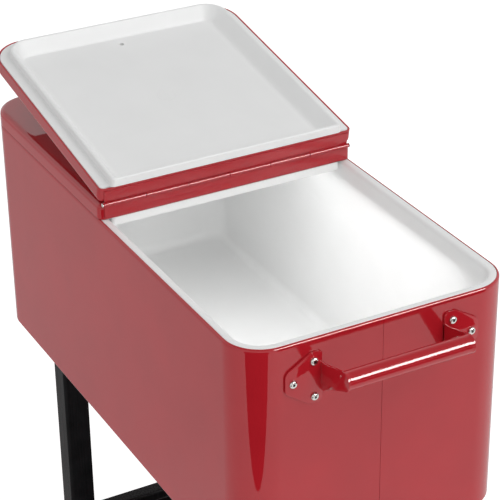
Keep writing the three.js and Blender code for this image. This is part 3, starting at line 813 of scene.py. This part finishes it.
class COOLER_OT_hinge(bpy.types.Operator):
    """Build the piano hinge: two leaves with rolled knuckles and the pin"""

    bl_idname = "cooler.build_hinge"
    bl_label = "Hinge"

    def execute(self, context):
        for side, place in LID_PLACES.items():
            finish(f"{side}_hinge_leaf", self.leaf(), "red_paint", f"{side}_lid", place)
        finish("hinge_pin", self.pin(), "chrome", "hinge_pin", Matrix.Translation((0, 0, HINGE_Z)))
        return {"FINISHED"}

    def leaf(self):
        outer = LID_SEAM - GAP
        half = LEAF_LENGTH / 2
        span = KNUCKLE_COUNT * KNUCKLE_PITCH / 2
        neck = -2.1 * MM
        notch = -3.3 * MM
        outline = [(-half, -LEAF_HEIGHT), (half, -LEAF_HEIGHT)]
        for i in reversed(range(KNUCKLE_COUNT)):
            start = max(-span + i * KNUCKLE_PITCH, -half)
            end = min(-span + (i + 1) * KNUCKLE_PITCH, half)
            ease = KNUCKLE_GAP / 2 if i % 2 else -KNUCKLE_GAP / 2
            level = neck if i % 2 else notch
            outline.append((min(end - ease, half), level))
            outline.append((max(start + ease, -half), level))
        plate = prism(outline, outer - LEAF_THICKNESS, outer, edge=0.25 * MM, place=DEPTH_ALONG_X)
        reach = KNUCKLE_PITCH - KNUCKLE_GAP
        ease = 0.35 * MM
        bore = PIN_RADIUS + GAP
        knuckle = tower(
            [
                (bore, 0),
                (KNUCKLE_RADIUS - ease, 0),
                (KNUCKLE_RADIUS, ease),
                (KNUCKLE_RADIUS, reach - ease),
                (KNUCKLE_RADIUS - ease, reach),
                (bore, reach),
            ],
            bore=True,
        )
        places = [
            Matrix.Translation((0, -span + i * KNUCKLE_PITCH + KNUCKLE_GAP / 2, 0)) @ AXIS_ALONG_Y
            for i in range(1, KNUCKLE_COUNT, 2)
        ]
        return gather(plate, copies(knuckle, places))

    def pin(self):
        span = KNUCKLE_COUNT * KNUCKLE_PITCH / 2 + GAP
        head = 2.8 * MM
        dome = 1.6 * MM
        side = 0.3 * MM
        end = [(head * math.cos(t), span + side + (dome - side) * math.sin(t)) for t in quarter(6)[:-1]]
        profile = [(PIN_RADIUS, 0), (PIN_RADIUS, span), (head, span), *end, (0.2 * MM, span + dome)]
        whole = [(r, -z) for r, z in reversed(profile[1:])] + profile[1:]
        return gather((tower(whole, 32), AXIS_ALONG_Y))


class COOLER_OT_knobs(bpy.types.Operator):
    """Build the knob on each lid and its screw"""

    bl_idname = "cooler.build_knobs"
    bl_label = "Lid knobs"

    def execute(self, context):
        shape = context.scene.cooler_shape
        foot = LID_ROOF + GAP
        top = LID_ROOF + KNOB_HEIGHT
        profile = [
            (KNOB_BORE, foot + 12 * MM),
            (KNOB_BORE, foot),
            (10.4 * MM, foot),
            *fillet(11 * MM, foot + 0.5 * MM, 10 * MM, foot + 2.4 * MM),
            *fillet(9.4 * MM, foot + 2.6 * MM, 6 * MM, foot + 7 * MM, outward=False, steps=6),
            (6 * MM, foot + 12 * MM),
            *fillet(6 * MM, foot + 12 * MM, 12 * MM, top - 9 * MM, outward=True, steps=6)[1:],
            *above(top, (13.4, -7.6), (14, -6), (13.7, -4), (12.6, -2)),
            *above(top, (10.6, -0.7), (8, 0), (6, 0), (5.4, -0.3)),
        ]
        head_top = LID_ROOF - shape.sheet - GAP
        head = head_top - 3 * MM
        screw = [
            *above(head, (0.6, 1.4), (1.6, 0), (2.4, 0.2), (3.1, 1.2)),
            *above(head_top, (3.1, 0), (2.5, 0)),
            *above(foot, (2.5, 9.4), (1.8, 10)),
        ]
        for side, place in LID_PLACES.items():
            spot = place @ Matrix.Translation((KNOB_FROM_HINGE, 0, 0))
            finish(f"{side}_lid_knob", tower(profile, 48), "chrome", f"{side}_lid", spot)
            finish(f"{side}_lid_knob_screw", tower(screw, 24), "zinc_plate", f"{side}_lid", spot)
        return {"FINISHED"}


def screw_places():
    """Where each bracket screw stands on an end: across, and up."""
    return [(side * (ARM_HALF + out), RIM_Z - drop) for side in (-1, 1) for out, drop in BRACKET_SCREWS]


class COOLER_OT_handles(bpy.types.Operator):
    """Build the handle on each end: two bent brackets and a tube"""

    bl_idname = "cooler.build_handles"
    bl_label = "End handles"

    def execute(self, context):
        for side, place in END_PLACES.items():
            bar = self.bar(context.scene.cooler_shape.bar_segments)
            bm = gather(self.bracket(-1), self.bracket(1), bar)
            finish(f"{side}_handle", bm, "red_paint", "root", place)
        return {"FINISHED"}

    def bracket(self, side):
        back = TUB_X + GAP
        plate = (
            (0, 20.5), (3.5, 18), (14, 17.3), (18, 18.5), (48, 36.5), (51.5, 42.5),
            (51.5, 63.5), (49, 67.5), (20, 87.5), (15, 89), (4, 89), (0, 85.5),
        )
        outline = [(side * (ARM_HALF + out * MM), RIM_Z - drop * MM) for out, drop in plate]
        plate_bm = prism(outline, back, back + BRACKET_PLATE, 1.2 * MM, 0.45 * MM, DEPTH_ALONG_X, 3)
        bar = Vector((TUB_X + BAR_REACH, RIM_Z - BAR_DROP))
        around = BAR_RADIUS + 0.6 * MM
        nose = [
            bar + around * Vector((math.cos(a), math.sin(a)))
            for a in (math.pi * (0.62 - 1.04 * i / 14) for i in range(15))
        ]
        arm = [
            (back, RIM_Z - 33.5 * MM),
            (TUB_X + 12 * MM, RIM_Z - 32.5 * MM),
            *nose,
            (TUB_X + 28 * MM, RIM_Z - 60.5 * MM),
            (TUB_X + 8 * MM, RIM_Z - 72.5 * MM),
            (back, RIM_Z - 72.5 * MM),
        ]
        inner = side * ARM_HALF
        outer = side * (ARM_HALF + BRACKET_PLATE)
        arm_bm = prism(arm, inner, outer, 0, 0.45 * MM, DEPTH_ALONG_Y)
        return gather(plate_bm, arm_bm)

    def bar(self, segments):
        half = ARM_HALF + BRACKET_PLATE / 2
        bead = [
            (BAR_RADIUS + 0.35 * MM, ARM_HALF),
            (BAR_RADIUS + 0.28 * MM, ARM_HALF - 0.7 * MM),
            (BAR_RADIUS + 0.08 * MM, ARM_HALF - 1.5 * MM),
            (BAR_RADIUS, ARM_HALF - 2.2 * MM),
            (BAR_RADIUS, ARM_HALF - 5 * MM),
        ]
        profile = [(BAR_RADIUS, -half), (BAR_RADIUS + 0.35 * MM, -half)]
        profile += [(r, -z) for r, z in bead] + [(r, z) for r, z in reversed(bead)]
        profile += [(BAR_RADIUS + 0.35 * MM, half), (BAR_RADIUS, half)]
        middle = Matrix.Translation((TUB_X + BAR_REACH, 0, RIM_Z - BAR_DROP))
        return gather((tower(profile, segments), middle @ AXIS_ALONG_Y))


class COOLER_OT_screws(bpy.types.Operator):
    """Build the button-head screws that hold the handles"""

    bl_idname = "cooler.build_screws"
    bl_label = "Handle screws"

    def execute(self, context):
        face = TUB_X + GAP + BRACKET_PLATE + GAP
        turn = Matrix.Rotation(math.pi / 2, 4, "Y")
        for side, end in END_PLACES.items():
            for i, (y, z) in enumerate(screw_places()):
                place = end @ Matrix.Translation((face, y, z)) @ turn @ Matrix.Rotation(0.4 + i, 4, "Z")
                screw = self.screw(context)
                # The dark plastic of the second slot is painted shade in each screw's hex socket.
                finish(f"{side}_handle_screw_{i + 1}", screw, "chrome", "root", place, "pedal_plastic")
        return {"FINISHED"}

    def screw(self, context):
        """A screw along Z, with its head's underside at 0."""
        shank = GAP + BRACKET_PLATE + GAP + context.scene.cooler_shape.sheet
        dome = [(2.3 + 2.9 * math.cos(t), 0.7 + 2.3 * math.sin(t)) for t in quarter(7)]
        profile = [(2.1, -shank / MM), (2.4, 0.3 - shank / MM), (2.4, 0), (5.0, 0), (5.2, 0.25), *dome]
        bm = bmesh.new()
        ring = circle(bm, profile[0][0] * MM, profile[0][1] * MM)
        cap(bm, ring)
        for radius, z in profile[1:-1]:
            ring = grow(bm, ring)
            for vertex in ring:
                flat = Vector((vertex.co.x, vertex.co.y, 0)).normalized()
                vertex.co = radius * MM * flat + Vector((0, 0, z * MM))
        top = profile[-2][1] * MM
        socket = circle(bm, 1.9 * MM, top, segments=6)
        cap(bm, ring, socket)
        ring = grow(bm, socket)
        bmesh.ops.translate(bm, vec=(0, 0, -2.3 * MM), verts=ring)
        cap(bm, ring)
        # The socket's walls and floor take the dark plastic: painted shade in the recess.
        for face in {face for vertex in ring for face in vertex.link_faces}:
            face.material_index = 1
        return bm


class COOLER_OT_stand(bpy.types.Operator):
    """Build the legs, the rails between them and the shelf"""

    bl_idname = "cooler.build_stand"
    bl_label = "Stand"

    def execute(self, context):
        for corner in CORNERS:
            self.leg(f"{corner}_leg")
        for side in SIDES:
            self.rail(f"{side}_lower_rail")
            self.rail(f"{side}_upper_rail")
        self.shelf()
        return {"FINISHED"}

    def leg(self, node):
        a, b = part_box(node)
        size = b.x - a.x
        outer = square(size, size, 4.5 * MM)
        inner = inset(outer, LEG_WALL)
        edge = 0.5 * MM
        stations = [
            (a.z + 3 * MM, inner),
            (b.z - edge, inner),
            (b.z, inset(outer, LEG_WALL - edge)),
            (b.z, inset(outer, edge)),
            (b.z - edge, outer),
            (b.z - 6 * MM, outer),
            (a.z + 8 * MM, outer),
            *reversed(round_foot(outer, a.z, 1.5 * MM, 3)),
        ]
        bm = bored(stations, STEM_HOLE, steps=6, margin=0.8 * MM)
        middle = Matrix.Translation(((a.x + b.x) / 2, (a.y + b.y) / 2, 0))
        finish(node, bm, "black_paint", "root", middle)

    def rail(self, node):
        a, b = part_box(node)
        outer = square(b.x - a.x, b.z - a.z, 2.5 * MM)
        inner = inset(outer, RAIL_WALL)
        half = (b.y - a.y) / 2
        edge = 0.3 * MM
        stations = [
            (-half, inset(outer, edge)),
            (edge - half, outer),
            (half - edge, outer),
            (half, inset(outer, edge)),
            (half, inset(inner, -edge)),
            (half - edge, inner),
            (edge - half, inner),
            (-half, inset(inner, -edge)),
        ]
        bm = pipe(stations, steps=4, margin=0.8 * MM)
        middle = Matrix.Translation(((a.x + b.x) / 2, 0, (a.z + b.z) / 2))
        finish(node, bm, "black_paint", "root", middle @ AXIS_AGAINST_Y)

    def shelf(self):
        a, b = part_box("lower_shelf")
        sheet = SHELF_SHEET
        outer = Plan(a.x, b.x, a.y, b.y, 6 * MM, 6 * MM)
        inner = inset(outer, sheet)
        bend = 4 * MM
        hem = 0.5 * MM
        stations = [
            *round_foot(outer, a.z, bend),
            (b.z - hem, outer),
            (b.z, inset(outer, hem)),
            (b.z, inset(outer, sheet - hem)),
            (b.z - hem, inner),
            *reversed(round_foot(inner, a.z + sheet, bend - sheet)),
            (a.z + sheet, inset(inner, 2 * bend)),
        ]
        finish("lower_shelf", block(stations, steps=5), "black_paint", "root")


# Casters are drawn about their stem's axis, with the wheel trailing towards low X.
PIVOT = Vector((-33 * MM, 84 * MM))
COLLAR_TOP = 94.7 * MM
CUP_TOP = 91.4 * MM
FORK_TOP = 83.4 * MM


def caster_place(corner):
    """The stem's axis at a corner, on the ground."""
    x, y, _ = JOINTS[f"{corner}_swivel"]["pos_m"]
    return Matrix.Translation((x, y, 0))


class COOLER_OT_casters(bpy.types.Operator):
    """Build the swivel casters: stem, fork, wheel, axle and brake pedal"""

    bl_idname = "cooler.build_casters"
    bl_label = "Casters"

    def execute(self, context):
        axle = Matrix.Translation((-CASTER_TRAIL, 0, WHEEL_RADIUS)) @ AXIS_AGAINST_Y
        for corner in CORNERS:
            place = caster_place(corner)
            finish(f"{corner}_caster_stem", self.stem(), "zinc_plate", "root", place)
            finish(f"{corner}_caster_fork", self.fork(), "zinc_plate", f"{corner}_caster", place)
            finish(f"{corner}_wheel", self.wheel(), "caster_tread", f"{corner}_wheel", place @ axle)
            finish(f"{corner}_caster_axle", self.axle(), "zinc_plate", f"{corner}_caster", place @ axle)
            if f"{corner}_brake_pedal" in frame["nodes"]:
                finish(f"{corner}_brake_pedal", self.pedal(), "pedal_plastic", f"{corner}_pedal", place)
        return {"FINISHED"}

    def stem(self):
        rivet = FORK_TOP - FORK_SHEET - GAP
        ease = 0.5 * MM
        collar = 15 * MM
        foot = COLLAR_TOP - 3 * MM
        profile = [
            *above(rivet, (6.4, -2.5), (7.4, -2.1), (8, -1.3), (8, 0)),
            (STEM_RADIUS, rivet),
            (STEM_RADIUS, foot),
            (collar - ease, foot),
            (collar, foot + ease),
            (collar, COLLAR_TOP - ease),
            (collar - ease, COLLAR_TOP),
            (STEM_RADIUS, COLLAR_TOP),
            *above(COLLAR_TOP, (5.5, 35), (4.6, 36)),
        ]
        return tower(profile, 40)

    def fork(self):
        cup_profile = [
            (STEM_HOLE, FORK_TOP - 0.5 * MM),
            *above(FORK_TOP, (20, -0.5), (20, 3.4), (18.6, 4.2), (18.6, 5.0)),
            *fillet(20 * MM, FORK_TOP + 5.6 * MM, 17.6 * MM, CUP_TOP),
            (STEM_HOLE, CUP_TOP),
        ]
        cup = tower(cup_profile, 48, bore=True)
        outer = CHEEK_INNER + FORK_SHEET
        back = PIVOT.x + 6 * MM
        front = 18 * MM
        crown_plan = ((back, -outer), (front, -outer), (front, outer), (back, outer))
        crown = prism(crown_plan, FORK_TOP - FORK_SHEET, FORK_TOP, 2 * MM, 0.5 * MM, Matrix(), 3)
        hub = Vector((-CASTER_TRAIL, WHEEL_RADIUS))
        around = [
            hub + 10 * MM * Vector((math.cos(a), math.sin(a)))
            for a in (-math.pi * (0.12 + 0.78 * i / 8) for i in range(9))
        ]
        outline = [
            (front, FORK_TOP),
            (front, FORK_TOP - 7 * MM),
            (-CASTER_TRAIL + 10 * MM, WHEEL_RADIUS - 4 * MM),
            *around[1:],
            (PIVOT.x - 6 * MM, PIVOT.y - 6 * MM),
            (PIVOT.x - 6 * MM, PIVOT.y + 3 * MM),
            (PIVOT.x - 3 * MM, PIVOT.y + 5.5 * MM),
            (PIVOT.x + 6 * MM, PIVOT.y + 5.5 * MM),
            (PIVOT.x + 9 * MM, FORK_TOP),
        ]
        cheeks = [prism(outline, side * CHEEK_INNER, side * outer, 0, 0.5 * MM) for side in (-1, 1)]
        return gather(cup, crown, *cheeks)

    def wheel(self):
        """A wheel about Z: a tread, a side wall with a groove, and a hub with ribs."""
        half = WHEEL_WIDTH / 2
        rim = WHEEL_RADIUS - 10 * MM
        side = [
            (4.3 * MM, half - 0.4 * MM),
            (8.4 * MM, half - 0.4 * MM),
            (9 * MM, half - 1 * MM),
            (9 * MM, half - 3 * MM),
            (rim - 1.5 * MM, half - 3 * MM),
            (rim - 0.8 * MM, half - 0.6 * MM),
            (rim, half),
            (rim + 1.6 * MM, half),
            (rim + 2.2 * MM, half - 0.6 * MM),
            (rim + 2.8 * MM, half),
            (WHEEL_RADIUS - 4 * MM, half),
            (WHEEL_RADIUS - 2.2 * MM, half - 1 * MM),
            (WHEEL_RADIUS - 0.8 * MM, half - 3.2 * MM),
            (WHEEL_RADIUS, half - 6.2 * MM),
            (WHEEL_RADIUS, 2.6 * MM),
            (WHEEL_RADIUS - 0.8 * MM, 2 * MM),
            (WHEEL_RADIUS - 0.8 * MM, 0.8 * MM),
        ]
        body = tower([(r, -z) for r, z in side] + [(r, z) for r, z in reversed(side)], 64, bore=True)
        root = 8.6 * MM
        reach = rim - 1.2 * MM
        rib_plan = ((root, -MM), (reach, -MM), (reach, MM), (root, MM))
        ribs = []
        for face in (-1, 1):
            for i in range(8):
                depth = (face * (half - 3.2 * MM), face * (half - 1.2 * MM))
                rib = prism(rib_plan, *depth, 0, 0.3 * MM, Matrix())
                ribs.append((rib, Matrix.Rotation(math.tau * i / 8, 4, "Z")))
        return gather(body, *ribs)

    def axle(self):
        face = CHEEK_INNER + FORK_SHEET + GAP
        head = above(face, (5.6, 4), (7, 3.4), (7, 0))
        shaft = tower([*above(-face, (3.4, -1), (4, -0.4)), *above(face, (4, 5), (3.4, 5.5))], 24)
        nut = tower(list(reversed(head)), 6)
        bolt = tower([(r, -z) for r, z in head], 6)
        return gather(shaft, nut, bolt)

    def pedal(self):
        half = CHEEK_INNER - 0.8 * MM
        side = (
            (-4, 3.5), (-4, -2), (5, -4), (7.5, -11.2), (11, -11.2),
            (13, -3), (38, 1), (42, 4.5), (41, 6.5), (12, 3.5),
        )
        outline = [(PIVOT.x - back * MM, PIVOT.y + up * MM) for back, up in side]
        body = prism(outline, -half, half, 0.7 * MM, 0.5 * MM, segments=3)
        ends = CHEEK_INNER + FORK_SHEET
        trunnion = tower([*above(-ends, (2.1, 0), (2.5, 0.4)), *above(ends, (2.5, -0.4), (2.1, 0))])
        axis = Matrix.Translation((PIVOT.x, 0, PIVOT.y)) @ AXIS_AGAINST_Y
        # The tread's upper face rises from one point of the outline to the next.
        (tip, tip_up), (root, root_up) = side[-2:]
        rise = tip_up - root_up
        run = tip - root
        grip_plan = [(x * MM, y * MM) for x, y in ((-0.8, -0.2), (0.8, -0.2), (0.6, 0.6), (-0.6, 0.6))]
        end = half - 1.5 * MM
        grips = []
        for i in range(6):
            back = 18 + 4 * i
            up = root_up + rise * (back - root) / run
            spot = Matrix.Translation((PIVOT.x - back * MM, 0, PIVOT.y + up * MM))
            strip = prism(grip_plan, -end, end, 0, 0.15 * MM)
            grips.append((strip, spot @ Matrix.Rotation(math.atan2(rise, run), 4, "Y")))
        return gather(body, (trunnion, axis), *grips)


class COOLER_OT_drain(bpy.types.Operator):
    """Build the drain's spout and its screw-on cap"""

    bl_idname = "cooler.build_drain"
    bl_label = "Drain"

    def execute(self, context):
        place = Matrix.Translation((*DRAIN_PLACE, 0))
        finish("drain_spout", self.spout(), "white_plastic", "root", place)
        finish("drain_cap", self.cover(), "white_plastic", "drain_cap", place)
        return {"FINISHED"}

    def spout(self):
        a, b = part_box("drain_spout")
        outer = DRAIN_BORE + DRAIN_WALL
        flange = 22 * MM
        seat = b.z - 2 * MM
        thread = []
        for i in range(4):
            z = a.z + (3 + 3 * i) * MM
            root = outer - 0.8 * MM
            thread += [(root, z), (outer, z + 0.7 * MM), (outer, z + 1.3 * MM), (root, z + 2 * MM)]
        profile = [
            (DRAIN_BORE, a.z),
            (outer - 1.2 * MM, a.z),
            (outer - 0.8 * MM, a.z + 0.5 * MM),
            *thread,
            (outer, a.z + 16 * MM),
            (outer, seat),
            (flange, seat),
            *fillet(flange, seat + 0.6 * MM, flange - 1.4 * MM, b.z),
            (DRAIN_BORE + 3 * MM, b.z),
            *fillet(DRAIN_BORE + 1.8 * MM, b.z - 0.1 * MM, DRAIN_BORE, b.z - 1.6 * MM, outward=False),
        ]
        return tower(profile, 48, bore=True)

    def cover(self):
        a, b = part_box("drain_cap")
        inner = DRAIN_HOLE
        outer = inner + 3 * MM
        segments = 64
        groove = 0.7 * MM
        inside = low("drain_spout").z - GAP
        profile = [
            (outer - 2.4 * MM, a.z),
            (outer - 1.2 * MM, a.z + 0.4 * MM),
            (outer - 0.6 * MM, a.z + 1.2 * MM),
            (outer, a.z + 2.4 * MM),
            (outer, b.z - 1.5 * MM),
            (outer - 0.6 * MM, b.z - 0.4 * MM),
            (outer - 1 * MM, b.z),
            (inner + 0.3 * MM, b.z),
            (inner, b.z - 0.3 * MM),
            (inner, inside),
        ]
        bm = tower(profile, segments)
        for vertex in bm.verts:
            radius = Vector((vertex.co.x, vertex.co.y)).length
            turn = round(math.atan2(vertex.co.y, vertex.co.x) / math.tau * segments)
            if abs(radius - outer) < 1e-6 and turn % 4 in (0, 1):
                vertex.co.x *= 1 - groove / radius
                vertex.co.y *= 1 - groove / radius
        return bm


def compass(turn, rise):
    """The direction at an azimuth and an elevation. Azimuth 0 is low Y, and 90 degrees is high X."""
    return Vector((math.sin(turn) * math.cos(rise), -math.cos(turn) * math.cos(rise), math.sin(rise)))


def facing(place, toward):
    """A matrix at a place whose Z points along toward and whose X is level."""
    return Matrix.Translation(place) @ toward.to_track_quat("Z", "Y").to_matrix().to_4x4()


def stage_object(name, bm, material):
    """Turns a mesh into an object of the stage."""
    mesh = bpy.data.meshes.new(name)
    bm.to_mesh(mesh)
    bm.free()
    mesh.materials.append(material)
    made = bpy.data.objects.new(name, mesh)
    bpy.context.scene.collection.objects.link(made)
    return made


def soft_light(name, size, power, place):
    """A rectangular light that shines against its Z and that reflections don't show."""
    data = bpy.data.lights.new(name, "AREA")
    data.shape = "RECTANGLE"
    data.size, data.size_y = size
    data.energy = power
    light = bpy.data.objects.new(name, data)
    light.visible_glossy = False
    light.matrix_world = place
    bpy.context.scene.collection.objects.link(light)
    return light


CAMERA_PLACE = (2.0600, -1.0633, 1.9595)
CAMERA_AZIMUTH = math.radians(62.036)
CAMERA_ELEVATION = math.radians(28.258)
CAMERA_ROLL = math.radians(-0.799)


class COOLER_OT_stage(bpy.types.Operator):
    """Set the floor, the lights and the camera"""

    bl_idname = "cooler.set_stage"
    bl_label = "Stage"

    def execute(self, context):
        settings = context.scene.cooler_stage
        self.camera(context, settings)
        self.surround(context, settings)
        lights = (self.overhead(settings), self.inside_fill(settings))
        self.floor()
        self.cards(settings)
        return {"FINISHED"}

    def camera(self, context, settings):
        back = compass(CAMERA_AZIMUTH, CAMERA_ELEVATION)
        right = Vector((math.cos(CAMERA_AZIMUTH), math.sin(CAMERA_AZIMUTH), 0))
        up = back.cross(right)
        turned_right = math.cos(CAMERA_ROLL) * right + math.sin(CAMERA_ROLL) * up
        turned_up = -math.sin(CAMERA_ROLL) * right + math.cos(CAMERA_ROLL) * up
        data = bpy.data.cameras.new("camera")
        data.lens = settings.lens
        data.sensor_width = 36
        data.clip_start = 0.05
        camera = bpy.data.objects.new("camera", data)
        context.scene.collection.objects.link(camera)
        turn = Matrix((turned_right, turned_up, back)).transposed()
        camera.matrix_world = Matrix.Translation(CAMERA_PLACE) @ turn.to_4x4()
        context.scene.camera = camera

    def surround(self, context, settings):
        """A white surround that is plain to the camera and falls off upwards in reflections."""
        world = bpy.data.worlds.new("surround")
        world.use_nodes = True
        nodes = world.node_tree.nodes
        links = world.node_tree.links
        background = nodes["Background"]
        background.inputs["Color"].default_value = (1, 1, 1, 1)
        path = nodes.new("ShaderNodeLightPath")
        place = nodes.new("ShaderNodeTexCoord")
        split = nodes.new("ShaderNodeSeparateXYZ")
        links.new(place.outputs["Generated"], split.inputs["Vector"])
        rise = nodes.new("ShaderNodeMapRange")
        links.new(split.outputs["Z"], rise.inputs["Value"])
        limits = {"From Min": 0.55, "From Max": 0.85, "To Min": 1.0, "To Max": settings.zenith}
        for key, value in limits.items():
            rise.inputs[key].default_value = value
        strength = settings.surround
        for flag, value in (("Is Glossy Ray", rise.outputs["Result"]), ("Is Camera Ray", 1.0)):
            mix = nodes.new("ShaderNodeMix")
            links.new(path.outputs[flag], mix.inputs["Factor"])
            for socket, source in (("A", strength), ("B", value)):
                if isinstance(source, float):
                    mix.inputs[socket].default_value = source
                else:
                    links.new(source, mix.inputs[socket])
            strength = mix.outputs["Result"]
        links.new(strength, background.inputs["Strength"])
        context.scene.world = world
        context.scene.view_settings.view_transform = "Standard"

    def sheet(self, name, matrix, size, strength, round_edge=False):
        """A card for reflections: glossy rays see it, and it lights and shades nothing else."""
        bm = bmesh.new()
        if round_edge:
            bmesh.ops.create_circle(bm, cap_ends=True, radius=0.5, segments=64)
        else:
            bmesh.ops.create_grid(bm, x_segments=1, y_segments=1, size=0.5)
        bmesh.ops.scale(bm, vec=(*size, 1), verts=bm.verts)
        made = Finish(
            name,
            Roughness=1.0,
            Specular_IOR_Level=0.0,
            Base_Color=(0, 0, 0, 1),
            Emission_Color=(1, 1, 1, 1),
            Emission_Strength=strength,
        )
        card = stage_object(name, bm, made.material)
        card.matrix_world = matrix
        card.visible_camera = False
        card.visible_diffuse = False
        card.visible_shadow = False
        card.visible_transmission = False
        return card

    def cards(self, settings):
        """What the enamel mirrors: a softbox, and dark gaps under it and on the floor."""
        box_turn = math.radians(117.5)
        toward = compass(box_turn, math.radians(28))
        low_toward = compass(box_turn, math.radians(4))
        bar = Vector((TUB_X + BAR_REACH, 0, RIM_Z - BAR_DROP))
        box_place = facing(bar + 2.6 * toward, toward)
        gap_place = facing(bar + 2.5 * low_toward, low_toward)
        cards = [
            self.sheet("softbox_card", box_place, (1.9, 1.0), settings.softbox),
            self.sheet("softbox_stand_gap", gap_place, (3.2, 0.55), 0.0),
        ]
        for name, side, turn, near, size in (
            ("front_floor_gap", -1, math.radians(52), 0.82, (2.4, 2.16)),
            ("back_floor_gap", 1, math.radians(118), 1.40, (5.0, 1.2)),
        ):
            corner = Vector((TUB_X, side * TUB_Y, 0))
            middle = corner + compass(turn, 0) * (near + size[0] / 2) + Vector((0, 0, 4 * MM))
            place = Matrix.Translation(middle) @ Matrix.Rotation(turn - math.pi / 2, 4, "Z")
            cards.append(self.sheet(name, place, size, 0.0, round_edge=side < 0))
        return cards

    def overhead(self, settings):
        """A broad soft light from above the handle end."""
        toward = compass(math.radians(115), math.radians(50))
        place = facing(Vector((0, 0, 0.7)) + 3.2 * toward, toward)
        return soft_light("overhead", (2.4, 2.0), settings.overhead, place)

    def inside_fill(self, settings):
        """A soft light in the mouth of the tub, facing down."""
        light = soft_light("inside_fill", (0.42, 0.33), settings.inside, Matrix.Translation((0.1, 0, 0.786)))
        light.visible_camera = False
        return light

    def floor(self):
        """A pale floor that glows, so that it meets the surround without an edge."""
        bm = bmesh.new()
        bmesh.ops.create_grid(bm, x_segments=1, y_segments=1, size=12)
        made = Finish(
            "pale_floor",
            Roughness=0.9,
            Specular_IOR_Level=0.1,
            Base_Color=(0.85, 0.85, 0.85, 1),
            Emission_Color=(1, 1, 1, 1),
        )
        path = made.add("ShaderNodeLightPath").outputs
        # Painted reflection: glossy rays see the floor glow brighter towards high X.
        across = made.add("ShaderNodeSeparateXYZ", {"Vector": made.place}).outputs["X"]
        limits = {"From Min": -0.6, "From Max": 0.9, "To Min": 0.08, "To Max": 0.48}
        painted_reflection_glow = made.add("ShaderNodeMapRange", {"Value": across, **limits}).outputs["Result"]
        glow = made.add("ShaderNodeMix", {"Factor": path["Is Glossy Ray"], "A": 0.3, "B": painted_reflection_glow})
        seen = {"Factor": path["Is Camera Ray"], "A": glow.outputs["Result"], "B": 0.68}
        made.set("Emission Strength", made.add("ShaderNodeMix", seen).outputs["Result"])
        return stage_object("floor", bm, made.material)


class COOLER_OT_frame_finishes(bpy.types.Operator):
    """Give every piece that stays as the frame has it the finish of its slot"""

    bl_idname = "cooler.finish_frame"
    bl_label = "Frame finishes"

    def execute(self, context):
        for row in frame["record"]["subparts"]:
            node = frame["nodes"][row["node"]]
            node.data.materials.clear()
            node.data.materials.append(material_for(row["material_slot"]))
        return {"FINISHED"}


OPERATORS = (
    COOLER_OT_stage,
    COOLER_OT_frame_finishes,
    COOLER_OT_tub_skin,
    COOLER_OT_tub_inside,
    COOLER_OT_lids,
    COOLER_OT_hinge,
    COOLER_OT_knobs,
    COOLER_OT_handles,
    COOLER_OT_screws,
    COOLER_OT_stand,
    COOLER_OT_casters,
    COOLER_OT_drain,
)


class COOLER_PT_sidebar(bpy.types.Panel):
    """Lists what builds the cooler, with its colours and the stage's settings"""

    bl_idname = "COOLER_PT_sidebar"
    bl_label = "Patio Cooler"
    bl_space_type = "VIEW_3D"
    bl_region_type = "UI"
    bl_category = "Cooler"

    def draw(self, context):
        scene = context.scene
        for settings in (scene.cooler_shape, scene.cooler_colors, scene.cooler_stage):
            for name in settings.bl_rna.properties.keys():
                if name not in {"name", "rna_type"}:
                    self.layout.prop(settings, name)
        for operator in OPERATORS:
            self.layout.operator(operator.bl_idname)


CLASSES = (CoolerShape, CoolerColors, CoolerStage, *OPERATORS, COOLER_PT_sidebar)


def register():
    for cls in CLASSES:
        bpy.utils.register_class(cls)
    bpy.types.Scene.cooler_shape = bpy.props.PointerProperty(type=CoolerShape)
    bpy.types.Scene.cooler_colors = bpy.props.PointerProperty(type=CoolerColors)
    bpy.types.Scene.cooler_stage = bpy.props.PointerProperty(type=CoolerStage)


def unregister():
    del bpy.types.Scene.cooler_stage
    del bpy.types.Scene.cooler_colors
    del bpy.types.Scene.cooler_shape
    for cls in reversed(CLASSES):
        bpy.utils.unregister_class(cls)


def main():
    register()
    for operator in OPERATORS:
        group, name = operator.bl_idname.split(".")
        getattr(getattr(bpy.ops, group), name)()


if __name__ == "__main__":
    main()
